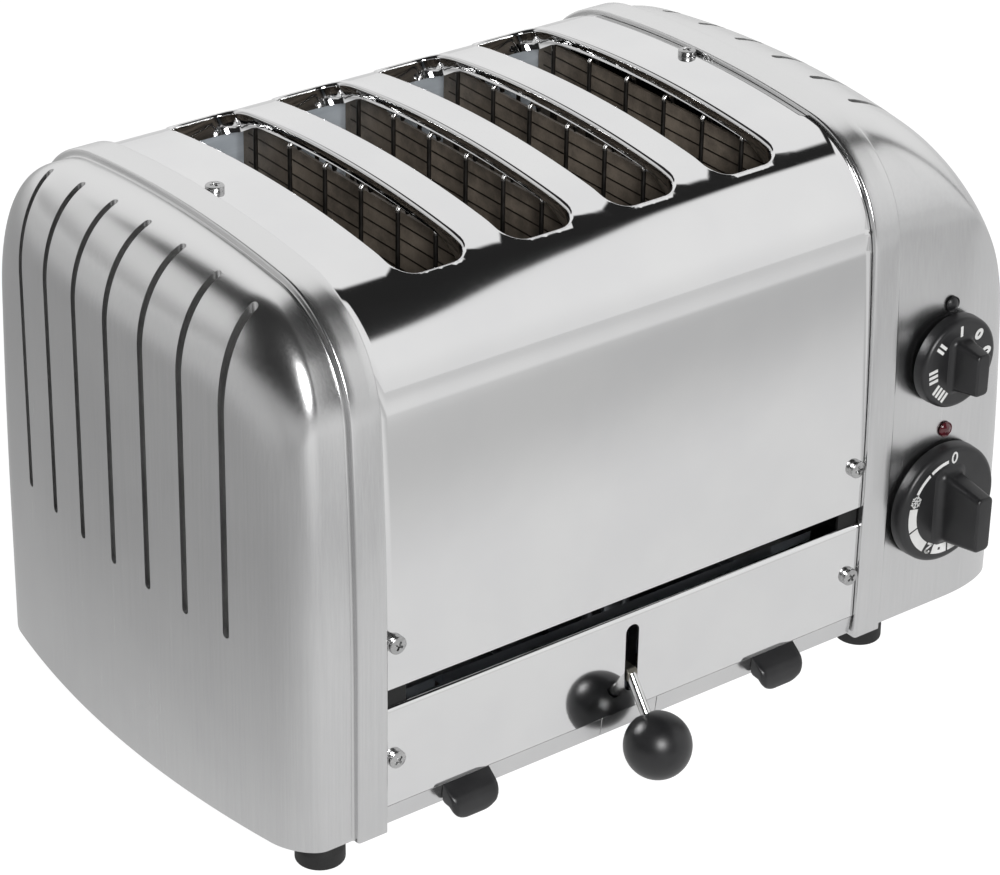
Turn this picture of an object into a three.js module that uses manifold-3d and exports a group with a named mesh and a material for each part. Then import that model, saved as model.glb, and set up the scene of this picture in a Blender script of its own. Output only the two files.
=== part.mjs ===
// A four-slot toaster with two cast ends, a wrapped steel cover, a lift lever,
// two rotary controls and two crumb trays.
// Millimetres. X runs from the vented end to the control end, Y from front to back,
// Z up from the table. The lengths below are first laid out about the middle of the
// slots, and the whole object is then moved so that its origin is the middle of its base.
import * as THREE from 'three';
import { mergeVertices } from 'three/addons/utils/BufferGeometryUtils.js';
import Module from 'manifold-3d';

const wasm = await Module();
wasm.setup();

// Clearances
const seat = 0.3;             // gap between two pieces that sit on each other
const overrun = 2;            // how far a cutting tool runs past what it cuts

// Section of the casing: a flat crown, two round shoulders and two nearly flat flanks
const casingHalfDepth = 106;
const casingTop = 224;
const casingBottom = 13;
const crownRadius = 519;
const shoulderRadius = 46.7;
const flankRadius = 1479;
const flankStart = 69.4;
const flankSteps = 2;
const shoulderSteps = 6;
const crownSteps = 2;

// Cast ends
const endMargin = 18;         // from the middle of the outermost board to a rim
const rimWidth = 13;
const rimProud = 3;           // how far a rim stands above the rest of its casting
const rimRound = 1;
const castingWall = 3;
// How far each end stands beyond its rim, and how its shoulder is drawn in
const ventEnd = { reach: 33, shoulderRun: 26, flankRun: 22, drop: 36, pinch: 16, bow: 450 };
const controlEnd = { reach: 77.5, shoulderRun: 77.5, flankRun: 40, drop: 106, pinch: 10, bow: 450 };
const endSteps = 5;
const endColumns = 6;
const ventWidth = 2.4;
const ventPitch = 22;
const ventFoot = 89;          // height of the lower end of each vent
const ventHead = 13;          // how far beyond the rim each vent begins
const leftVents = 7;
const rightVents = 6;

// Wrapped cover with four slots
const coverSetback = 2;       // how far the cover lies below the rims
const coverThickness = 1.2;
const coverFoot = 71.3;
const slotPitch = 47;
const slotWidth = 30;
const slotLength = 151;
const slotCorner = 8;
const slotCount = 4;
const endFlangeDepth = 9;
const sideFlangeFoot = 215.5;
const sideFlangeHalfLength = 66;

// Lower panels, front and rear
const panelFoot = 22.5;
const panelTop = 63.7;
const panelFold = 6;
const leverSlotWidth = 6.2;
const leverSlotFoot = 30;
const leverSlotTop = 58.6;
const tongueHalfWidth = 13;   // the middle stretch below the panel, between the trays
const trayStripFoot = 17;

// Base plate and feet
const plateThickness = 1.2;
const plateInset = 9;         // from the casing's front to the plate's edge
const plateCorner = 34;
const plateMargin = 7;        // how far the plate ends short of each casting's end
const runnerWidth = 4;
const runnerInset = 10;
const footRadius = 9.25;
const footTopRadius = 8.6;
const footEdge = 0.8;
const footOutset = 5;         // of a foot's middle, beyond the rim
const footInset = 17;         // from the casing's front to a foot's middle

// Bulkheads between the castings and the toasting chamber
const bulkheadThickness = 1.2;
const bulkheadFlange = 9.4;

// Heat shields and element boards
const shieldThickness = 0.8;
const shieldGap = 3.2;        // between a slot's end and a shield
const shieldFoot = 76;
const shieldTop = 205;
const boardThickness = 1.2;
const boardFoot = 84;
const boardTop = 208;

// Guard wires
const wireRadius = 0.9;
const wireSides = 4;
const wireCount = 6;
const wirePitch = 22.7;
const wireRowShift = 5.2;     // of the row's middle, towards the back
const wireStandoff = 6.1;     // from a board's middle
const wireFoot = 88;
const wireTop = 213.4;
const wireBend = 2.2;
const wireHookDrop = 7;
const tieBarHeight = 98;

// Lift: carriage, lever and ball
const bladeThickness = 3;
const bladeFoot = 67;
const bladeTop = 79;
const bladeReach = 74;
const crossbarPast = 7.5;     // how far the bar runs past the outermost blades' middle
const crossbarFront = 92;
const crossbarBack = 84;
const crossbarHeight = 6;
const liftPlateHalfWidth = 4;
const liftPlateThickness = 2;
const liftPlateFoot = 32;
const guideRodX = 9;
const guideRodRadius = 2;
const guideRodTop = 100;
const bladeSlotTop = 99;
const armHalfWidth = 2.3;
const armFoot = 34.6;
const armHeight = 5.2;
const armPast = 1.5;          // how far the arm stands out of the panel
const rodRadius = 2.2;
const rodInset = 1.5;         // how far the rod starts inside the arm's end
const ballRadius = 13;
const ballPast = 17;          // from the panel to the ball's middle
const ballHeight = 14.4;
const rodDepthInBall = 9;

// Crumb trays and their pulls
const trayWall = 1;
const trayLength = 196;
const traySideGap = 0.7;      // between a tray and the bulkhead beside it
const stripInset = 0.5;
const pullWidth = 21;
const leftPullInset = 25.1;   // of a pull's middle, from the outer side of its tray
const rightPullInset = 30.8;
const pullReach = 7.4;
const pullDepth = 13.2;
const pullRound = 6.5;
const pullPlanRound = 2.5;  // of a pull's corners as seen from above

// Screws
const screwHeadRadius = 3.5;
const screwHeadHeight = 2.2;
const screwShankRadius = 1.5;
const screwShankLength = 6;
const recessLength = 4;
const recessWidth = 0.9;
const recessDepth = 1.1;
const frontScrewInset = 4;    // from the cover's edge
const coverScrewHeight = 89.5;
const panelScrewHeight = 42;
const topScrewInset = 3.7;
const topScrewY = 5;

// Controls on the front of the control end
const controlOutset = 28;     // of both dials' middle, beyond the rim
const bushRadius = 5;
const spindleRadius = 3;
const spindleInset = 18;      // from the casing's front to a spindle's tail
const bodySetback = 1.2;      // gap between a control's body and the casting's inner wall
const dialGap = 18.2;         // between the two dials
const selector = {
  radius: 18.9, foot: 18.4, depth: 7, edge: 1.8, sides: 36,
  gripFoot: [12.5, 7], gripWaist: [10.4, 4.4], gripFront: [8.8, 3.4],
  waistHeight: 2.6, gripDepth: 12.6, body: 30, bodyDepth: 24,
};
const timerHeight = 61.5;
const timer = {
  radius: 24.8, foot: 24.2, depth: 7, edge: 1.8, sides: 44,
  gripFoot: [17.5, 8.5], gripWaist: [14.3, 4.7], gripFront: [11.8, 4],
  waistHeight: 4, gripDepth: 20, body: 36, bodyDepth: 34,
};
const gripEdge = 1.2;         // softened edge round a grip's front
const lampOutset = 30;        // lamp and marker sit a little outboard of the dials
const lampRadius = 2.9;
const lampRise = 1.5;
const lampStem = 1.9;
const lampStemLength = 6;
const lampGap = 5;            // from the timer's dial up to the lamp's middle
const markerGap = 2.5;        // from the selector's dial up to the marker's middle
const markerSeat = 0.4;

// Mains entry at the back of the control end
const glandOutset = 25;
const glandHeight = 36;
const glandRadius = 8;
const glandSleeve = 6;
const glandBore = 3.7;
const glandFlange = 2.5;
const glandNeck = 5;
const terminal = { length: 40, depth: 20, height: 18, outset: 20, y: 55 };

// Profiles given as shares of a length, so that they scale with it
const pullShares = [
  [0, 0], [0.8, -0.27], [0.93, -0.37], [1, -0.52], [1, -0.74], [0.94, -0.94], [0.84, -1],
  [0.72, -0.98], [0.66, -0.86], [0.68, -0.62], [0.58, -0.5], [0.3, -0.44], [0, -0.44],
];
const screwHeadShares = [[1, 0], [1, 0.35], [0.86, 0.75], [0.5, 1], [0, 1]];
const domeShares = [[1, 0], [1, 0.3], [0.8, 0.75], [0.4, 1], [0, 1]];
const gripCornerShare = 0.45; // of a grip's half width, cut off each corner

// Names for levels that several pieces share
const rimInner = slotCount * slotPitch / 2 + endMargin;
const rimOuter = rimInner + rimWidth;
const coverFront = casingHalfDepth - coverSetback;
const plateFoot = casingBottom + seat;
const plateTop = plateFoot + plateThickness;
const coverInner = coverSetback + coverThickness;
const bulkheadSetback = coverInner + seat;
const bulkheadFace = rimInner - 2 * seat;
const coverHalfLength = rimInner - seat;
const armReach = coverFront + armPast;
const ballForward = coverFront + ballPast;
const plateHalfDepth = casingHalfDepth - plateInset;
const controlFace = casingHalfDepth - rimProud + seat;
const spindleTail = casingHalfDepth - spindleInset;
const frontScrewX = coverHalfLength - frontScrewInset;
const topScrewX = coverHalfLength - topScrewInset;
const trayHalfSpan = bulkheadFace - bulkheadFlange - traySideGap;
const stripHalfSpan = coverHalfLength - stripInset;
const shieldInner = slotLength / 2 + shieldGap;
const controlX = rimOuter + controlOutset;
const lampX = rimOuter + lampOutset;
const selectorHeight = timerHeight + timer.radius + dialGap + selector.radius;
const lampHeight = timerHeight + timer.radius + lampGap;
const markerHeight = selectorHeight + selector.radius + markerGap;
const middleOf = (index) => (index - (slotCount - 1) / 2) * slotPitch;

// Finishes
const castMetal = { color: 0xc9cacb, roughness: 0.3, metalness: 1 };
const polishedSteel = { color: 0xd8d9da, roughness: 0.1, metalness: 1 };
const plainSteel = { color: 0xa9abad, roughness: 0.4, metalness: 1 };
const blackPlastic = { color: 0x17181a, roughness: 0.35, metalness: 0 };
const rubber = { color: 0x1b1b1c, roughness: 0.8, metalness: 0 };
const mica = { color: 0x5b4f45, roughness: 0.7, metalness: 0 };
const darkWire = { color: 0x55524e, roughness: 0.45, metalness: 1 };
const redGlass = { color: 0x6b1418, roughness: 0.15, metalness: 0 };
const paleMoulding = { color: 0xcfc8b8, roughness: 0.6, metalness: 0 };

const toaster = new THREE.Group();
toaster.name = 'toaster';

// Turns a closed geometry into a solid that can be joined or cut
function solid(geometry) {
  const bare = geometry.clone();
  bare.deleteAttribute('normal');
  bare.deleteAttribute('uv');
  const merged = mergeVertices(bare);
  return new wasm.Manifold(new wasm.Mesh({
    numProp: 3,
    vertProperties: new Float32Array(merged.attributes.position.array),
    triVerts: new Uint32Array(merged.index.array),
  }));
}

function geometryOf(body) {
  const mesh = body.getMesh();
  const geometry = new THREE.BufferGeometry();
  geometry.setAttribute('position', new THREE.BufferAttribute(new Float32Array(mesh.vertProperties), 3));
  geometry.setIndex(new THREE.BufferAttribute(new Uint32Array(mesh.triVerts), 1));
  geometry.computeVertexNormals();
  return geometry;
}

function add(name, shape, finish) {
  const geometry = shape instanceof THREE.BufferGeometry ? shape : geometryOf(shape);
  const mesh = new THREE.Mesh(geometry, new THREE.MeshStandardMaterial(finish));
  mesh.name = name;
  toaster.add(mesh);
}

// A box between two corners
function block([x0, x1], [y0, y1], [z0, z1]) {
  const geometry = new THREE.BoxGeometry(x1 - x0, y1 - y0, z1 - z0);
  geometry.translate((x0 + x1) / 2, (y0 + y1) / 2, (z0 + z1) / 2);
  return geometry;
}

const blockSolid = (xs, ys, zs) => solid(block(xs, ys, zs));

// Extrusions of flat outlines along each axis. An outline is a list of [across, up] pairs.
function extrude(outline, length) {
  const shape = new THREE.Shape(outline.map(([u, v]) => new THREE.Vector2(u, v)));
  return new THREE.ExtrudeGeometry(shape, { depth: length, bevelEnabled: false });
}

function extrudeAlongX(outline, x0, x1) {
  const geometry = extrude(outline, x1 - x0);
  const turn = new THREE.Matrix4().makeBasis(
    new THREE.Vector3(0, 1, 0), new THREE.Vector3(0, 0, 1), new THREE.Vector3(1, 0, 0));
  geometry.applyMatrix4(turn);
  geometry.translate(x0, 0, 0);
  return geometry;
}

function extrudeAlongY(outline, y0, y1) {
  const geometry = extrude(outline, y1 - y0);
  const turn = new THREE.Matrix4().makeBasis(
    new THREE.Vector3(1, 0, 0), new THREE.Vector3(0, 0, 1), new THREE.Vector3(0, -1, 0));
  geometry.applyMatrix4(turn);
  geometry.translate(0, y1, 0);
  return geometry;
}

function extrudeAlongZ(outline, z0, z1) {
  const geometry = extrude(outline, z1 - z0);
  geometry.translate(0, 0, z0);
  return geometry;
}

// A turned piece whose profile is a list of [radius, forward] pairs. It points along -Y,
// which is towards the user, from a point on its axis.
function turned(profile, [x, y, z], sides) {
  const geometry = new THREE.LatheGeometry(profile.map(([r, f]) => new THREE.Vector2(r, f)), sides);
  geometry.rotateX(Math.PI);
  geometry.translate(x, y, z);
  return geometry;
}

// A round bar or hole along Y
function roundAlongY(radius, x, z, y0, y1, sides) {
  return turned([[0, 0], [radius, 0], [radius, y1 - y0], [0, y1 - y0]], [x, y1, z], sides);
}

function arc(centre, radius, from, to, steps) {
  const points = [];
  for (let i = 0; i <= steps; i += 1) {
    const angle = from + (to - from) * i / steps;
    points.push([centre[0] + radius * Math.cos(angle), centre[1] + radius * Math.sin(angle)]);
  }
  return points;
}

// A rectangle with round corners, about a middle point
function roundedRectangle(cx, cy, width, length, corner, steps) {
  const points = [];
  const quarter = Math.PI / 2;
  const signs = [[1, -1], [1, 1], [-1, 1], [-1, -1]];
  signs.forEach(([sx, sy], k) => {
    const centre = [cx + sx * (width / 2 - corner), cy + sy * (length / 2 - corner)];
    points.push(...arc(centre, corner, (k - 1) * quarter, k * quarter, steps));
  });
  return points;
}

// The middle of the shoulder arc, which touches the crown arc and the flank arc
function shoulderCentre() {
  const crown = [0, casingTop - crownRadius];
  const flank = [casingHalfDepth - flankRadius, flankStart];
  const fromCrown = crownRadius - shoulderRadius;
  const fromFlank = flankRadius - shoulderRadius;
  const across = flank[0] - crown[0];
  const up = flank[1] - crown[1];
  const span = Math.hypot(across, up);
  const along = (fromCrown ** 2 - fromFlank ** 2 + span ** 2) / (2 * span);
  const aside = Math.sqrt(fromCrown ** 2 - along ** 2);
  return [
    crown[0] + (across * along + up * aside) / span,
    crown[1] + (up * along - across * aside) / span,
  ];
}

// Half of the casing's section, from the bottom of a flank to the crown, a given
// distance inside the rim. Each point is [depth, height].
function halfSection(inset, foot) {
  const shoulder = shoulderCentre();
  const crown = [0, casingTop - crownRadius];
  const flank = [casingHalfDepth - flankRadius, flankStart];
  const flankAngle = Math.atan2(shoulder[1] - flank[1], shoulder[0] - flank[0]);
  const crownAngle = Math.atan2(shoulder[1] - crown[1], shoulder[0] - crown[0]);
  const startAngle = Math.asin(Math.max(foot - flankStart, 0) / (flankRadius - inset));
  const upright = foot < flankStart ? [[casingHalfDepth - inset, foot]] : [];
  return [
    ...upright,
    ...arc(flank, flankRadius - inset, startAngle, flankAngle, flankSteps),
    ...arc(shoulder, shoulderRadius - inset, flankAngle, crownAngle, shoulderSteps).slice(1),
    ...arc(crown, crownRadius - inset, crownAngle, Math.PI / 2, crownSteps).slice(1),
  ];
}

// The whole section, from the front foot over the top to the back foot
function section(inset, foot) {
  const half = halfSection(inset, foot);
  const front = half.map(([depth, height]) => [-depth, height]);
  const back = half.slice(0, -1).reverse();
  return [...front, ...back];
}

const archBlock = (inset, foot, x0, x1) => solid(extrudeAlongX(section(inset, foot).reverse(), x0, x1));

// A sheet that follows the section
function archSheet(inset, thickness, foot, x0, x1) {
  const outline = [...section(inset, foot).reverse(), ...section(inset + thickness, foot)];
  return solid(extrudeAlongX(outline, x0, x1));
}

// How much each point of the section belongs to the top (1) or to a flank (0)
function topShares() {
  const points = section(0, casingBottom);
  const last = points.length - 1;
  return points.map((point, i) => {
    if (i === 0 || i === last) return 0;
    const before = points[i - 1];
    const after = points[i + 1];
    return Math.abs(after[0] - before[0]) / Math.hypot(after[0] - before[0], after[1] - before[1]);
  });
}

// One ring of a cast end: the section drawn in at the flanks and lowered at the top by a
// quarter turn of an ellipse. A turn of 0 is the start of the shoulder, 1 the end face.
function endRing(end, inset, foot, turn) {
  const shares = topShares();
  const angle = turn * Math.PI / 2;
  const closing = 1 - Math.cos(angle);
  const advance = Math.sin(angle);
  const reach = rimOuter + end.reach - (inset - rimProud);
  const drawIn = closing * end.pinch / (casingHalfDepth - rimProud);
  const lowering = closing * end.drop / (casingTop - rimProud - casingBottom);
  return section(inset, foot).map(([y, z], i) => {
    const depth = y * (1 - drawIn);
    const rise = Math.max(z - casingBottom, 0);
    const height = Math.min(z, casingBottom) + rise * (1 - lowering);
    const run = end.flankRun + (end.shoulderRun - end.flankRun) * shares[i];
    const x = reach - run * (1 - advance) - advance * depth ** 2 / (2 * end.bow);
    return [x, depth, height];
  });
}

const plainRing = (x, inset, foot) => section(inset, foot).map(([y, z]) => [x, y, z]);

// Adds the points along a ring's bottom edge, from back to front
function closeRing(ring) {
  const back = ring[ring.length - 1];
  const front = ring[0];
  const extra = [];
  for (let j = 1; j < endColumns; j += 1) {
    const share = j / endColumns;
    extra.push(back.map((value, k) => value + (front[k] - value) * share));
  }
  return [...ring, ...extra];
}

// The closed skin of a cast end or of its cavity, from a list of rings. The last ring is
// filled by a grid that keeps the bow of the end face.
function endSkin(end, rings) {
  const corners = [];
  const faces = [];
  const put = (point) => corners.push(point) - 1;
  const count = rings[0].length;
  const last = rings[rings.length - 1];
  const lastFlankX = (y) => last[0][0] + (last[0][1] ** 2 - y ** 2) / (2 * end.bow);
  const closed = rings.map((ring) => closeRing(ring));
  const lastClosed = closed[closed.length - 1];
  for (let j = count; j < lastClosed.length; j += 1) lastClosed[j][0] = lastFlankX(lastClosed[j][1]);
  const index = closed.map((ring) => ring.map((point) => put(point)));
  const around = closed[0].length;
  for (let r = 0; r + 1 < index.length; r += 1) {
    for (let i = 0; i < around; i += 1) {
      const next = (i + 1) % around;
      faces.push([index[r][i], index[r + 1][next], index[r][next]]);
      faces.push([index[r][i], index[r + 1][i], index[r + 1][next]]);
    }
  }
  const half = (count - 1) / 2;
  const rowsAcross = (ringIndex, bowed) => {
    const ids = index[ringIndex];
    const ring = closed[ringIndex];
    const rows = [];
    for (let i = 0; i < half; i += 1) {
      const front = ids[i];
      const back = ids[count - 1 - i];
      const row = [front];
      for (let j = 1; j < endColumns; j += 1) {
        const share = j / endColumns;
        const y = ring[i][1] + (ring[count - 1 - i][1] - ring[i][1]) * share;
        const flat = ring[i][0];
        const x = bowed ? flat + (ring[i][1] ** 2 - y ** 2) / (2 * end.bow) : flat;
        row.push(i === 0 ? ids[around - j] : put([x, y, ring[i][2]]));
      }
      row.push(back);
      rows.push(row);
    }
    return rows;
  };
  const cap = (ringIndex, bowed, flip) => {
    const rows = rowsAcross(ringIndex, bowed);
    const crown = index[ringIndex][half];
    const face = (a, b, c) => faces.push(flip ? [a, c, b] : [a, b, c]);
    for (let i = 0; i + 1 < rows.length; i += 1) {
      for (let j = 0; j < endColumns; j += 1) {
        face(rows[i][j], rows[i][j + 1], rows[i + 1][j + 1]);
        face(rows[i][j], rows[i + 1][j + 1], rows[i + 1][j]);
      }
    }
    const top = rows[rows.length - 1];
    for (let j = 0; j < endColumns; j += 1) face(top[j], top[j + 1], crown);
  };
  cap(index.length - 1, true, false);
  cap(0, false, true);
  const geometry = new THREE.BufferGeometry();
  geometry.setAttribute('position', new THREE.Float32BufferAttribute(corners.flat(), 3));
  geometry.setIndex(faces.flat());
  return solid(geometry);
}

const turns = Array.from({ length: endSteps + 1 }, (_, i) => i / endSteps);

// A whole casting on the +X side: rim, domed body, cavity and vents
function casting(end, vents) {
  const outer = endSkin(end, [
    plainRing(rimInner, 0, casingBottom),
    plainRing(rimOuter - rimRound, 0, casingBottom),
    plainRing(rimOuter, rimRound, casingBottom),
    plainRing(rimOuter, rimProud, casingBottom),
    ...turns.map((turn) => endRing(end, rimProud, casingBottom, turn)),
  ]);
  const inside = rimProud + castingWall;
  const cavityFoot = casingBottom - overrun;
  const cavity = endSkin(end, [
    plainRing(rimInner - overrun, inside, cavityFoot),
    ...turns.map((turn) => endRing(end, inside, cavityFoot, turn)),
  ]);
  let body = outer.subtract(cavity);
  const top = casingTop + overrun;
  const ventEnds = [rimOuter + ventHead, rimOuter + end.reach + overrun];
  for (let i = 0; i < vents; i += 1) {
    const y = (i - (vents - 1) / 2) * ventPitch;
    const half = ventWidth / 2;
    const outline = [
      ...arc([y, ventFoot + half], half, Math.PI, 2 * Math.PI, 4),
      [y + half, top],
      [y - half, top],
    ];
    body = body.subtract(solid(extrudeAlongX(outline, ...ventEnds)));
  }
  return body;
}

// Turns a solid about the slots' middle, to the other end
const toVentEnd = (body) => body.mirror([1, 0, 0]);

function buildCastings() {
  add('vent_end_casting', toVentEnd(casting(ventEnd, leftVents)), castMetal);
  const wallBack = -(casingHalfDepth - rimProud - castingWall - overrun * 3);
  const wallFront = -(casingHalfDepth + overrun);
  let body = casting(controlEnd, rightVents);
  const holes = [
    [bushRadius + seat, controlX, selectorHeight],
    [bushRadius + seat, controlX, timerHeight],
    [lampStem + seat, lampX, lampHeight],
    [lampStem + seat, lampX, markerHeight],
  ];
  holes.forEach(([radius, x, height]) => {
    body = body.subtract(solid(roundAlongY(radius, x, height, wallFront, wallBack, 12)));
  });
  const rear = solid(roundAlongY(glandSleeve + seat, rimOuter + glandOutset, glandHeight,
    -wallBack, -wallFront, 12));
  add('control_end_casting', body.subtract(rear), castMetal);
}

function buildCover() {
  const sheet = archSheet(coverSetback, coverThickness, coverFoot, -coverHalfLength, coverHalfLength);
  const flangeBand = archSheet(coverSetback + coverThickness / 2, endFlangeDepth, coverFoot,
    -coverHalfLength, coverHalfLength);
  const clearing = blockSolid([-coverHalfLength, coverHalfLength],
    [-sideFlangeHalfLength, sideFlangeHalfLength], [coverFoot, sideFlangeFoot]);
  let body = sheet;
  for (let i = 0; i < slotCount; i += 1) {
    const outer = roundedRectangle(middleOf(i), 0, slotWidth + 2 * coverThickness,
      slotLength + 2 * coverThickness, slotCorner + coverThickness, 4);
    const tube = solid(extrudeAlongZ(outer, boardFoot, casingTop));
    body = body.add(tube.intersect(flangeBand).subtract(clearing));
  }
  for (let i = 0; i < slotCount; i += 1) {
    const hole = roundedRectangle(middleOf(i), 0, slotWidth, slotLength, slotCorner, 4);
    body = body.subtract(solid(extrudeAlongZ(hole, boardFoot - overrun, casingTop + overrun)));
  }
  [-1, 1].forEach((side) => {
    body = body.subtract(screwHoleAlongY(side * frontScrewX, coverScrewHeight));
    body = body.subtract(screwHoleAlongZ(side * topScrewX));
  });
  add('slot_cover', body, polishedSteel);
}

// Clearance holes for the screws, right through the casing from front to back
function screwHoleAlongY(x, height) {
  return solid(roundAlongY(screwShankRadius + seat, x, height, -casingHalfDepth, casingHalfDepth, 8));
}

function screwHoleAlongZ(x) {
  const radius = screwShankRadius + seat;
  const geometry = new THREE.CylinderGeometry(radius, radius, casingTop, 8);
  geometry.rotateX(Math.PI / 2);
  geometry.translate(x, topScrewY, casingTop);
  return solid(geometry);
}

function buildPanels() {
  const inner = coverFront - coverThickness;
  const span = [-coverHalfLength, coverHalfLength];
  const foldHalfSpan = bulkheadFace - bulkheadFlange - seat;
  const panel = (foot) => {
    const face = blockSolid(span, [-coverFront, -inner], [foot, panelTop]);
    const fold = blockSolid([-foldHalfSpan, foldHalfSpan], [-coverFront, -(inner - panelFold)],
      [panelTop - coverThickness, panelTop]);
    let body = face.add(fold);
    [-1, 1].forEach((side) => {
      body = body.subtract(screwHoleAlongY(side * frontScrewX, panelScrewHeight));
    });
    return body;
  };
  const tongue = blockSolid([-tongueHalfWidth, tongueHalfWidth], [-coverFront, -inner],
    [trayStripFoot, panelFoot + overrun]);
  const half = leverSlotWidth / 2;
  const slotOutline = [
    ...arc([0, leverSlotFoot + half], half, Math.PI, 2 * Math.PI, 6),
    ...arc([0, leverSlotTop - half], half, 0, Math.PI, 6),
  ];
  const leverSlot = solid(extrudeAlongY(slotOutline, -(coverFront + overrun), -(inner - overrun)));
  add('front_lower_panel', panel(panelFoot).add(tongue).subtract(leverSlot), polishedSteel);
  const rear = panel(trayStripFoot).rotate([0, 0, 180]);
  add('rear_lower_panel', rear, polishedSteel);
}

function buildBase() {
  const left = -(rimOuter + ventEnd.reach - castingWall - plateMargin);
  const right = rimOuter + controlEnd.reach - castingWall - plateMargin;
  const outline = roundedRectangle((left + right) / 2, 0, right - left, 2 * plateHalfDepth, plateCorner, 5);
  let plate = solid(extrudeAlongZ(outline, plateFoot, plateTop));
  const runnerTop = trayStripFoot - seat;
  const inner = tongueHalfWidth + runnerInset;
  const outer = trayHalfSpan - runnerInset;
  [-outer, -inner, inner, outer].forEach((x) => {
    const runner = blockSolid([x - runnerWidth / 2, x + runnerWidth / 2],
      [-(plateHalfDepth - runnerInset), plateHalfDepth - runnerInset], [plateFoot, runnerTop]);
    plate = plate.add(runner);
  });
  add('base_plate', plate, plainSteel);
  const corners = { front_left: [-1, -1], front_right: [1, -1], rear_left: [-1, 1], rear_right: [1, 1] };
  Object.entries(corners).forEach(([name, [sx, sy]]) => {
    const profile = [[0, 0], [footRadius - footEdge, 0], [footRadius, footEdge],
      [footTopRadius, casingBottom], [0, casingBottom]];
    const geometry = new THREE.LatheGeometry(profile.map(([r, h]) => new THREE.Vector2(r, h)), 20);
    geometry.rotateX(Math.PI / 2);
    geometry.translate(sx * (rimOuter + footOutset), sy * (casingHalfDepth - footInset), 0);
    add(`foot_${name}`, geometry, rubber);
  });
}

function buildBulkheads() {
  const foot = plateTop + seat;
  const open = bulkheadFace - bulkheadFlange;
  const inner = bulkheadFace - bulkheadThickness;
  const band = archSheet(bulkheadSetback, bulkheadThickness, foot, open, bulkheadFace);
  const web = archBlock(bulkheadSetback + bulkheadThickness / 2, foot, inner, bulkheadFace);
  let body = band.add(web);
  body = body.subtract(screwHoleAlongY(frontScrewX, coverScrewHeight));
  body = body.subtract(screwHoleAlongY(frontScrewX, panelScrewHeight));
  body = body.subtract(screwHoleAlongZ(topScrewX));
  add('control_end_bulkhead', body, plainSteel);
  add('vent_end_bulkhead', toVentEnd(body), plainSteel);
}

function buildShields() {
  const halfSpan = bulkheadFace - bulkheadThickness - seat;
  const outer = shieldInner + shieldThickness;
  const rear = blockSolid([-halfSpan, halfSpan], [shieldInner, outer], [shieldFoot, shieldTop]);
  let front = blockSolid([-halfSpan, halfSpan], [-outer, -shieldInner], [shieldFoot, shieldTop]);
  const half = bladeThickness / 2 + seat;
  for (let i = 0; i < slotCount; i += 1) {
    const x = middleOf(i);
    front = front.subtract(blockSolid([x - half, x + half], [-(outer + overrun), -(shieldInner - overrun)],
      [shieldFoot - overrun, bladeSlotTop]));
  }
  add('front_heat_shield', front, plainSteel);
  add('rear_heat_shield', rear, plainSteel);
}

function buildBoards() {
  for (let i = 0; i <= slotCount; i += 1) {
    const x = middleOf(i) - slotPitch / 2;
    const half = boardThickness / 2;
    const reach = shieldInner - seat;
    const board = block([x - half, x + half], [-reach, reach], [boardFoot, boardTop]);
    add(`element_board_${i + 1}`, board, mica);
  }
}

// A round bar between two points
function bar(from, to, radius, sides) {
  const start = new THREE.Vector3(...from);
  const end = new THREE.Vector3(...to);
  const geometry = new THREE.CylinderGeometry(radius, radius, start.distanceTo(end), sides);
  const turn = new THREE.Quaternion().setFromUnitVectors(
    new THREE.Vector3(0, 1, 0), end.clone().sub(start).normalize());
  geometry.applyQuaternion(turn);
  geometry.translate((start.x + end.x) / 2, (start.y + end.y) / 2, (start.z + end.z) / 2);
  return geometry;
}

// One guard: upright wires hooked over an element board and tied by a bar near their feet
function guard(slotMiddle, side) {
  const x = slotMiddle + side * (slotPitch / 2 - wireStandoff);
  const boardFace = slotMiddle + side * (slotPitch / 2 - boardThickness / 2 - seat);
  const halfSpan = (wireCount - 1) * wirePitch / 2;
  const tieEnd = halfSpan + wireRadius * 2;
  const [tieFront, tieBack] = [wireRowShift - tieEnd, wireRowShift + tieEnd];
  let body = solid(bar([x, tieFront, tieBarHeight], [x, tieBack, tieBarHeight], wireRadius, wireSides));
  for (let i = 0; i < wireCount; i += 1) {
    const y = wireRowShift + i * wirePitch - halfSpan;
    body = body.add(solid(hookedWire(x, y, boardFace)));
  }
  return body;
}

// An upright wire with its foot turned in to the board and its head bent over towards it
function hookedWire(x, y, boardFace) {
  const toBoard = Math.sign(boardFace - x);
  const route = [
    [boardFace, wireFoot],
    [x, wireFoot],
    [x, wireTop - wireBend],
    [x + toBoard * wireBend, wireTop],
    [boardFace - toBoard * wireRadius, wireTop - wireHookDrop],
  ];
  const centres = route.map(([px, pz]) => new THREE.Vector3(px, y, pz));
  return mitredTube(centres, wireRadius, wireSides);
}

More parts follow.
